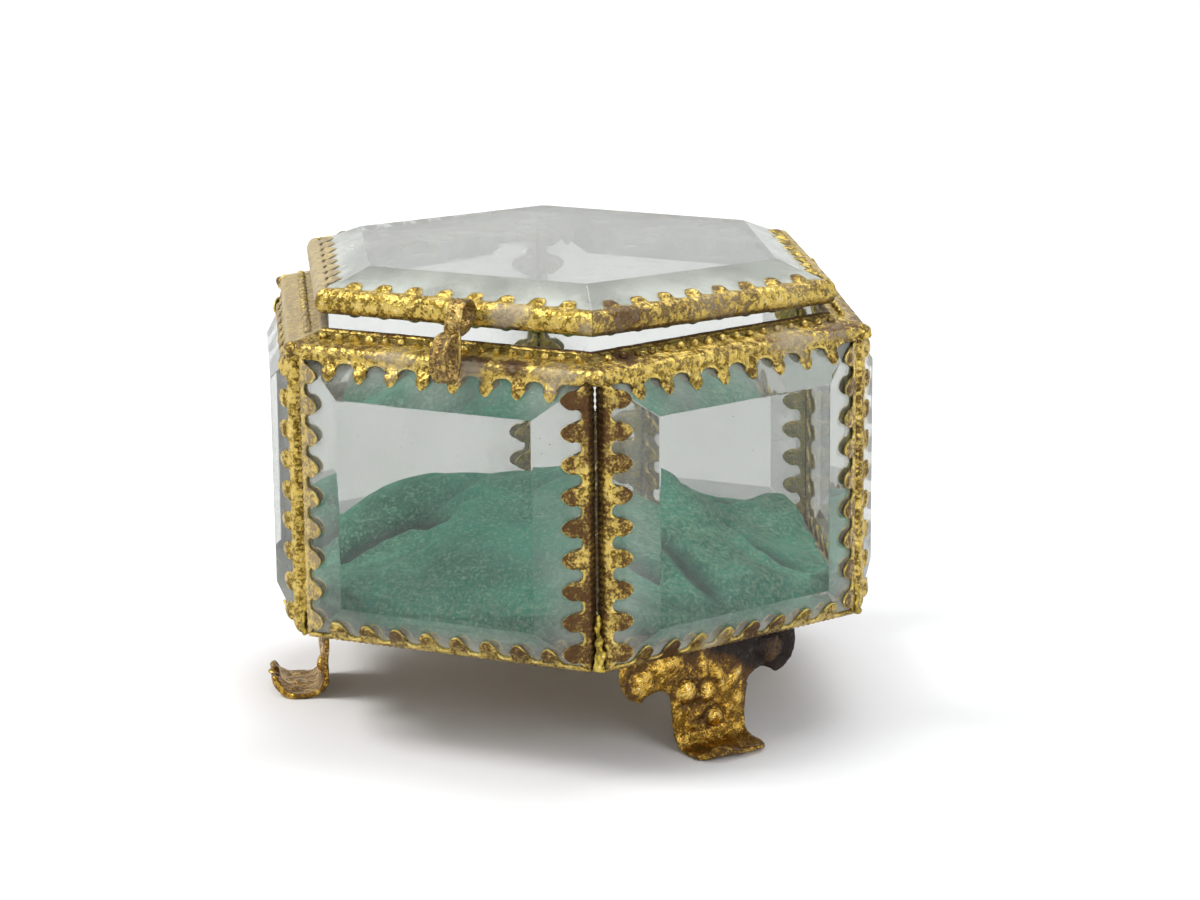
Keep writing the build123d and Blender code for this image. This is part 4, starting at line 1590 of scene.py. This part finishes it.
# Swellings of the pad: (x, y) in millimetres, width and height.
HILLS = (
    ((-17, -8), 9, 4.2),
    ((14, 6), 9, 3.6),
    ((-2, -2), 9, 2.4),
    ((-4, -24), 12, 1.2),
    ((-27, -13), 7, 1.6),
    ((7, 3), 8, 1.2),
    ((-40, 8), 12, -2.2),
    ((30, 18), 12, -3.8),
    ((2, 38), 17, -4.2),
    ((22, -16), 8, 1.2),
    ((-24, 28), 12, -1.8),
    ((40, 0), 9, -2.6),
    ((-38, -5), 8, -2.2),
    ((-28, -8), 6, 1.2),
    ((-27, -17), 6, 1.6),
    ((-31, -30), 6, -2.3),
    ((-24, -27), 6, -2.3),
    ((-16, -25), 6, -1.4),
    ((29, -11), 6, 1.2),
    ((27, -23), 5, -1.8),
    ((35, -27), 5, -1.6),
)
# Folds pressed into the silk: points as (x, y) in millimetres, depth and half width.
FOLDS = (
    (((-36, -25.5), (-30, -24.5), (-24, -21), (-18, -18), (-13, -18.5)), 3.8, 1.25),
    (((-16, -16), (-13.5, -10), (-14, -4)), 1.4, 1.8),
    (((-25, -35), (-17, -33), (-13, -25)), 1.2, 1.8),
    (((26, 4), (33, 2), (42, 0.5)), 3.0, 1.4),
    (((20, -12), (28, -17.5), (37, -22)), 3.0, 1.5),
    (((24, -27.5), (30, -27), (35, -22.5)), 1.8, 1.4),
    (((-6, 16), (-12, 25), (-18, 34)), 2.4, 2.2),
    (((12, 14), (16, 24), (17, 35)), 2.4, 2.2),
    (((-22, 8), (-30, 10), (-40, 8)), 2.0, 2.0),
)


# Apothem of the pad, in millimetres.
CUSHION_REACH = 41.8
# How the silk gives under the wadding's pressure, for how many frames, and how far at most.
CLOTH = {
    "quality": 6,
    "mass": 0.15,
    "tension_stiffness": 8,
    "compression_stiffness": 8,
    "bending_stiffness": 0.05,
    "use_pressure": True,
    "uniform_pressure_force": 4,
    "shrink_min": -0.06,
    "vertex_group_mass": "held",
}
CLOTH_FRAMES = 20
CLOTH_MOVE = 1.2 * MM


def distance_to(points, path):
    """How far each (x, y) lies from a broken line."""
    best = np.full(len(points), 1e9)
    for a, b in zip(path, path[1:]):
        a, b = np.array(a, float), np.array(b, float)
        run = b - a
        t = np.clip(((points - a) @ run) / (run @ run), 0, 1)
        best = np.minimum(best, np.linalg.norm(points - (a + t[:, None] * run), axis=1))
    return best


def hexagon_reach(points):
    """The apothem of the hexagon that passes through each (x, y)."""
    turns = [math.radians(a) for a in FACES.values()]
    return np.max([points @ np.array((math.cos(t), math.sin(t))) for t in turns], axis=0)


def cushion_swell():
    """The CAD cushion's profile: apothems, from the middle out, and heights in millimetres."""
    points = cad_points("cushion") / MM
    low = points[:, 2].min()
    reach = hexagon_reach(points[:, :2])
    heights = points[:, 2] - low
    order = np.argsort(reach + 0.01 * (heights.max() - heights))
    outer = reach.max()
    rows = [(0.0, heights.max())]
    for i in order:
        if reach[i] > rows[-1][0] + 0.5 and (reach[i] < outer - 0.5 or heights[i] > 1):
            rows.append((reach[i], heights[i]))
    return np.array(rows).T


def cushion_height(flat, swell):
    """Height of the silk above the card at each (x, y), in millimetres."""
    reach = hexagon_reach(flat)
    spread = np.linspace(-3.0, 3.0, 7)
    dome = np.mean([np.interp(np.abs(reach + d), *swell) for d in spread], axis=0) + 0.3
    rim = np.clip((reach - 38.0) / 4.0, 0, 1)
    dome -= 2.2 * rim**2
    for (x, y), size, lift in HILLS:
        away = np.hypot(flat[:, 0] - x, flat[:, 1] - y)
        dome += lift * np.exp(-((away / size) ** 2))
    pressed = np.zeros(len(flat))
    for path, depth, width in FOLDS:
        pressed += depth * np.exp(-((distance_to(flat, path) / width) ** 2)) * (1 - 0.7 * rim)
    return dome - pressed, pressed


def build_cushion():
    """The padded silk cushion: a crowned pad, slack and dented, blown up by cloth simulation
    between its pinned folds, then smoothed."""
    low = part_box("cushion")[0]
    floor = low.z / MM
    rings, sides = 40, 144
    points = [(0.0, 0.0)]
    for ring in range(1, rings + 1):
        for k in range(sides):
            turn = 2 * math.pi * k / sides
            direction = np.array((math.cos(turn), math.sin(turn)))
            edge = CUSHION_REACH / hexagon_reach(direction[None, :])[0]
            corner = edge * (1 - 0.05 * (edge / CUSHION_REACH - 1) / 0.1547)
            points.append(tuple(direction * corner * (ring / rings)))
    flat = np.array(points)
    swell = cushion_swell()
    height, _ = cushion_height(flat, swell)
    top = np.column_stack([flat, floor + height])
    side = top[-sides:] * np.array([1.012, 1.012, 1.0])
    side[:, 2] = floor + height[-sides:] * 0.45
    under = top[-sides:] * np.array([0.985, 0.985, 1.0])
    under[:, 2] = floor + 0.15
    rows = [[1 + row * sides + k for k in range(sides)] for row in range(rings + 2)]
    faces = [(0, k, after) for k, after in zip(rows[0], rows[0][1:] + rows[0][:1])]
    for inner, outer in zip(rows, rows[1:]):
        faces += band(inner, outer, closed=True, flipped=True)
    faces.append(tuple(rows[-1])[::-1])
    piece = mesh_object("silk_cushion", np.vstack([top, side, under]) * MM, faces)
    modify(piece, "fine", "REMESH", mode="VOXEL", voxel_size=1.1 * MM)
    apply_modifiers(piece)
    blow_up(piece, low.z, swell)
    modify(piece, "smooth", "SUBSURF", levels=1, render_levels=1)
    apply_modifiers(piece)
    place = points_of(piece) / MM
    _, pressed = cushion_height(place[:, :2], swell)
    # The hollow number marks the creases, which the silk darkens as painted shade.
    creases = np.clip(pressed / 2.4 - 0.2, 0, 1) * (place[:, 2] > floor + 2)
    set_number(piece, "hollow", creases)
    lying = np.clip((floor + 9 - place[:, 2]) / 6, 0, 1) + np.clip((place[:, 0] - 8) / 16, 0, 1)
    set_number(piece, "dusty", np.clip(lying, 0, 1) * np.clip(1 - pressed / 1.5, 0, 1))
    shade(piece)
    finish_piece(piece, "silk", "casket", "silk", "cushion")


def blow_up(piece, floor, swell):
    """Cloth simulation under pressure, with the folds and the underside held."""
    points = points_of(piece)
    _, pressed = cushion_height(points[:, :2] / MM, swell)
    held = np.clip(pressed / 2.0, 0, 1)
    held[points[:, 2] < floor + 1.2 * MM] = 1.0
    group = piece.vertex_groups.new(name="held")
    for index, weight in enumerate(held):
        if weight > 0.3:
            group.add([index], float(weight), "REPLACE")
    cloth = piece.modifiers.new("cloth", "CLOTH")
    for label, value in CLOTH.items():
        setattr(cloth.settings, label, value)
    cloth.settings.effector_weights.gravity = 0
    cloth.collision_settings.use_collision = False
    scene = bpy.context.scene
    scene.frame_start, scene.frame_end = 1, CLOTH_FRAMES
    for step in range(1, CLOTH_FRAMES + 1):
        scene.frame_set(step)
    apply_modifiers(piece)
    piece.vertex_groups.clear()
    moved = points_of(piece) - points
    far = np.linalg.norm(moved, axis=1, keepdims=True)
    after = points + moved * np.minimum(1, CLOTH_MOVE / np.maximum(far, 1e-9))
    low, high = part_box("cushion")
    after[:, 2] = np.clip(after[:, 2], low.z, high.z + 5.0 * MM)
    wall = BODY_APOTHEM - 0.5 * MM
    shrink = np.minimum(1, wall / np.maximum(hexagon_reach(after[:, :2]), 1e-9))
    after[:, :2] *= shrink[:, None]
    set_points(piece, after)
    scene.frame_set(1)


# ---------------------------------------------------------------- stage


# The photograph's view: angles in degrees, distances, and the lens in millimetres.
VIEW_AZIMUTH = 24.15
VIEW_ELEVATION = 14.6
VIEW_ROLL = -0.55
VIEW_DISTANCE = 602.6 * MM
VIEW_HEIGHT = 40.0 * MM
VIEW_RIGHT = 5.8 * MM
LENS = 108.0


def build_camera():
    """The camera at the photograph's viewing angle."""
    azimuth, elevation = math.radians(VIEW_AZIMUTH), math.radians(VIEW_ELEVATION)
    roll = math.radians(VIEW_ROLL)
    level = Vector((math.cos(azimuth), math.sin(azimuth), 0))
    towards = Vector((math.sin(azimuth), -math.cos(azimuth), 0))
    back = towards * math.cos(elevation) + UP * math.sin(elevation)
    up = back.cross(level)
    right = level * math.cos(roll) + up * math.sin(roll)
    top = up * math.cos(roll) - level * math.sin(roll)
    data = bpy.data.cameras.new("camera")
    data.lens = LENS
    data.sensor_width = 36.0
    data.clip_start, data.clip_end = 0.01, 20.0
    camera = linked("camera", data)
    place = back * VIEW_DISTANCE + right * VIEW_RIGHT + UP * VIEW_HEIGHT
    camera.matrix_world = placing(right, top, back, place)
    bpy.context.scene.camera = camera


def build_floor():
    """A pale sweep that curves up far behind on every side."""
    sides, radius, curve, wall = 64, 1.1, 0.5, 2.2
    profile = [(0.25, 0.0), (0.6, 0.0), (radius, 0.0)]
    for i in range(1, 9):
        turn = math.pi / 2 * i / 8
        profile.append((radius + curve * math.sin(turn), curve - curve * math.cos(turn)))
    profile.append((radius + curve, wall))
    work = bmesh.new()
    centre = work.verts.new((0, 0, 0))
    turns = [2 * math.pi * k / sides for k in range(sides)]
    rings = [
        [work.verts.new((far * math.cos(turn), far * math.sin(turn), height)) for turn in turns]
        for far, height in profile
    ]
    for k in range(sides):
        work.faces.new((centre, rings[0][k], rings[0][(k + 1) % sides]))
    for low, high in zip(rings, rings[1:]):
        for quad in band(low, high, closed=True, flipped=True):
            work.faces.new(quad)
    floor = from_bmesh("floor", work)
    shade(floor)
    floor.data.materials.append(material("floor"))


# Each lamp's place, size, power in watts and colour.
LAMPS = {
    "window": ((-0.83, -0.39, 1.09), 0.6, 15.0, (1.0, 0.98, 0.95)),
    "fill": ((0.95, -0.55, 0.55), 0.6, 4.5, (0.96, 0.98, 1.0)),
    "top": ((0.1, 0.5, 1.2), 0.8, 10.0, (1.0, 1.0, 1.0)),
}
SKY_COLOUR, SKY_STRENGTH = (0.93, 0.95, 1.0, 1.0), 0.45
AIM = Vector((0, 0, 0.04))


def build_lights():
    """Soft window light from the left and front, a fill, light from above and a pale sky."""
    world = bpy.data.worlds.new("studio")
    world.use_nodes = True
    sky = world.node_tree.nodes["Background"]
    sky.inputs["Color"].default_value = SKY_COLOUR
    sky.inputs["Strength"].default_value = SKY_STRENGTH
    bpy.context.scene.world = world
    for name, (place, size, power, colour) in LAMPS.items():
        data = bpy.data.lights.new(name, "AREA")
        data.size, data.energy, data.color = size, power, colour
        lamp = linked(name, data)
        lamp.location = place
        lamp.rotation_euler = (AIM - Vector(place)).to_track_quat("-Z", "Y").to_euler()


# ---------------------------------------------------------------- operators and panel


class CASKET_OT_glass(bpy.types.Operator):
    """Bevel and dust the side panels and the lid's glass"""

    bl_idname = "casket.glass"
    bl_label = "Glass"

    def execute(self, context):
        build_glass()
        return {"FINISHED"}


class CASKET_OT_side_channels(bpy.types.Operator):
    """Stamp the clawed uprights and bottom channels"""

    bl_idname = "casket.side_channels"
    bl_label = "Side channels"

    def execute(self, context):
        build_side_channels()
        return {"FINISHED"}


class CASKET_OT_rim(bpy.types.Operator):
    """Stamp the rim, its beads and its corner knobs"""

    bl_idname = "casket.rim"
    bl_label = "Rim"

    def execute(self, context):
        build_rim()
        build_beads()
        build_corner_knobs()
        return {"FINISHED"}


class CASKET_OT_lid_channels(bpy.types.Operator):
    """Stamp the clawed channels of the lid"""

    bl_idname = "casket.lid_channels"
    bl_label = "Lid channels"

    def execute(self, context):
        build_lid_channels()
        return {"FINISHED"}


class CASKET_OT_pull(bpy.types.Operator):
    """Bend the reeded pull"""

    bl_idname = "casket.pull"
    bl_label = "Pull"

    def execute(self, context):
        build_pull()
        return {"FINISHED"}


class CASKET_OT_hinge(bpy.types.Operator):
    """Finish the hinge and its pin"""

    bl_idname = "casket.hinge"
    bl_label = "Hinge"

    def execute(self, context):
        build_hinge()
        return {"FINISHED"}


class CASKET_OT_base(bpy.types.Operator):
    """Finish the base sheet and the card"""

    bl_idname = "casket.base"
    bl_label = "Base"

    def execute(self, context):
        build_base()
        return {"FINISHED"}


class CASKET_OT_cushion(bpy.types.Operator):
    """Pad the silk cushion"""

    bl_idname = "casket.cushion"
    bl_label = "Cushion"

    def execute(self, context):
        build_cushion()
        return {"FINISHED"}


class CASKET_OT_feet(bpy.types.Operator):
    """Stamp the three feet and run the solder in the corners"""

    bl_idname = "casket.feet"
    bl_label = "Feet and solder"

    def execute(self, context):
        build_feet()
        build_solder()
        build_seams()
        return {"FINISHED"}


class CASKET_OT_stage(bpy.types.Operator):
    """Set the floor, the lights and the camera"""

    bl_idname = "casket.stage"
    bl_label = "Stage"

    def execute(self, context):
        build_floor()
        build_lights()
        build_camera()
        return {"FINISHED"}


class CASKET_PT_panel(bpy.types.Panel):
    """Sizes, colours and build steps of the casket"""

    bl_idname = "CASKET_PT_panel"
    bl_label = "Casket"
    bl_space_type = "VIEW_3D"
    bl_region_type = "UI"
    bl_category = "Casket"

    def draw(self, context):
        for step in STEPS:
            self.layout.operator(step.bl_idname)
        for group in (context.scene.casket_sizes, context.scene.casket_colours):
            box = self.layout.box()
            for name in group.__annotations__:
                box.prop(group, name)


STEPS = (
    CASKET_OT_glass,
    CASKET_OT_side_channels,
    CASKET_OT_rim,
    CASKET_OT_lid_channels,
    CASKET_OT_pull,
    CASKET_OT_hinge,
    CASKET_OT_base,
    CASKET_OT_cushion,
    CASKET_OT_feet,
    CASKET_OT_stage,
)


def register():
    """Register the groups, the operators and the panel."""
    for kind in (CasketSizes, CasketColours, *STEPS, CASKET_PT_panel):
        bpy.utils.register_class(kind)
    bpy.types.Scene.casket_sizes = bpy.props.PointerProperty(type=CasketSizes)
    bpy.types.Scene.casket_colours = bpy.props.PointerProperty(type=CasketColours)


def unregister():
    """Undo register."""
    del bpy.types.Scene.casket_colours
    del bpy.types.Scene.casket_sizes
    for kind in reversed((CasketSizes, CasketColours, *STEPS, CASKET_PT_panel)):
        bpy.utils.unregister_class(kind)


def main():
    """Register the add-on, build every piece, then set the view transform to Standard."""
    register()
    for step in STEPS:
        group, name = step.bl_idname.split(".")
        getattr(getattr(bpy.ops, group), name)()
    bpy.context.scene.view_settings.view_transform = "Standard"


if __name__ == "__main__":
    main()
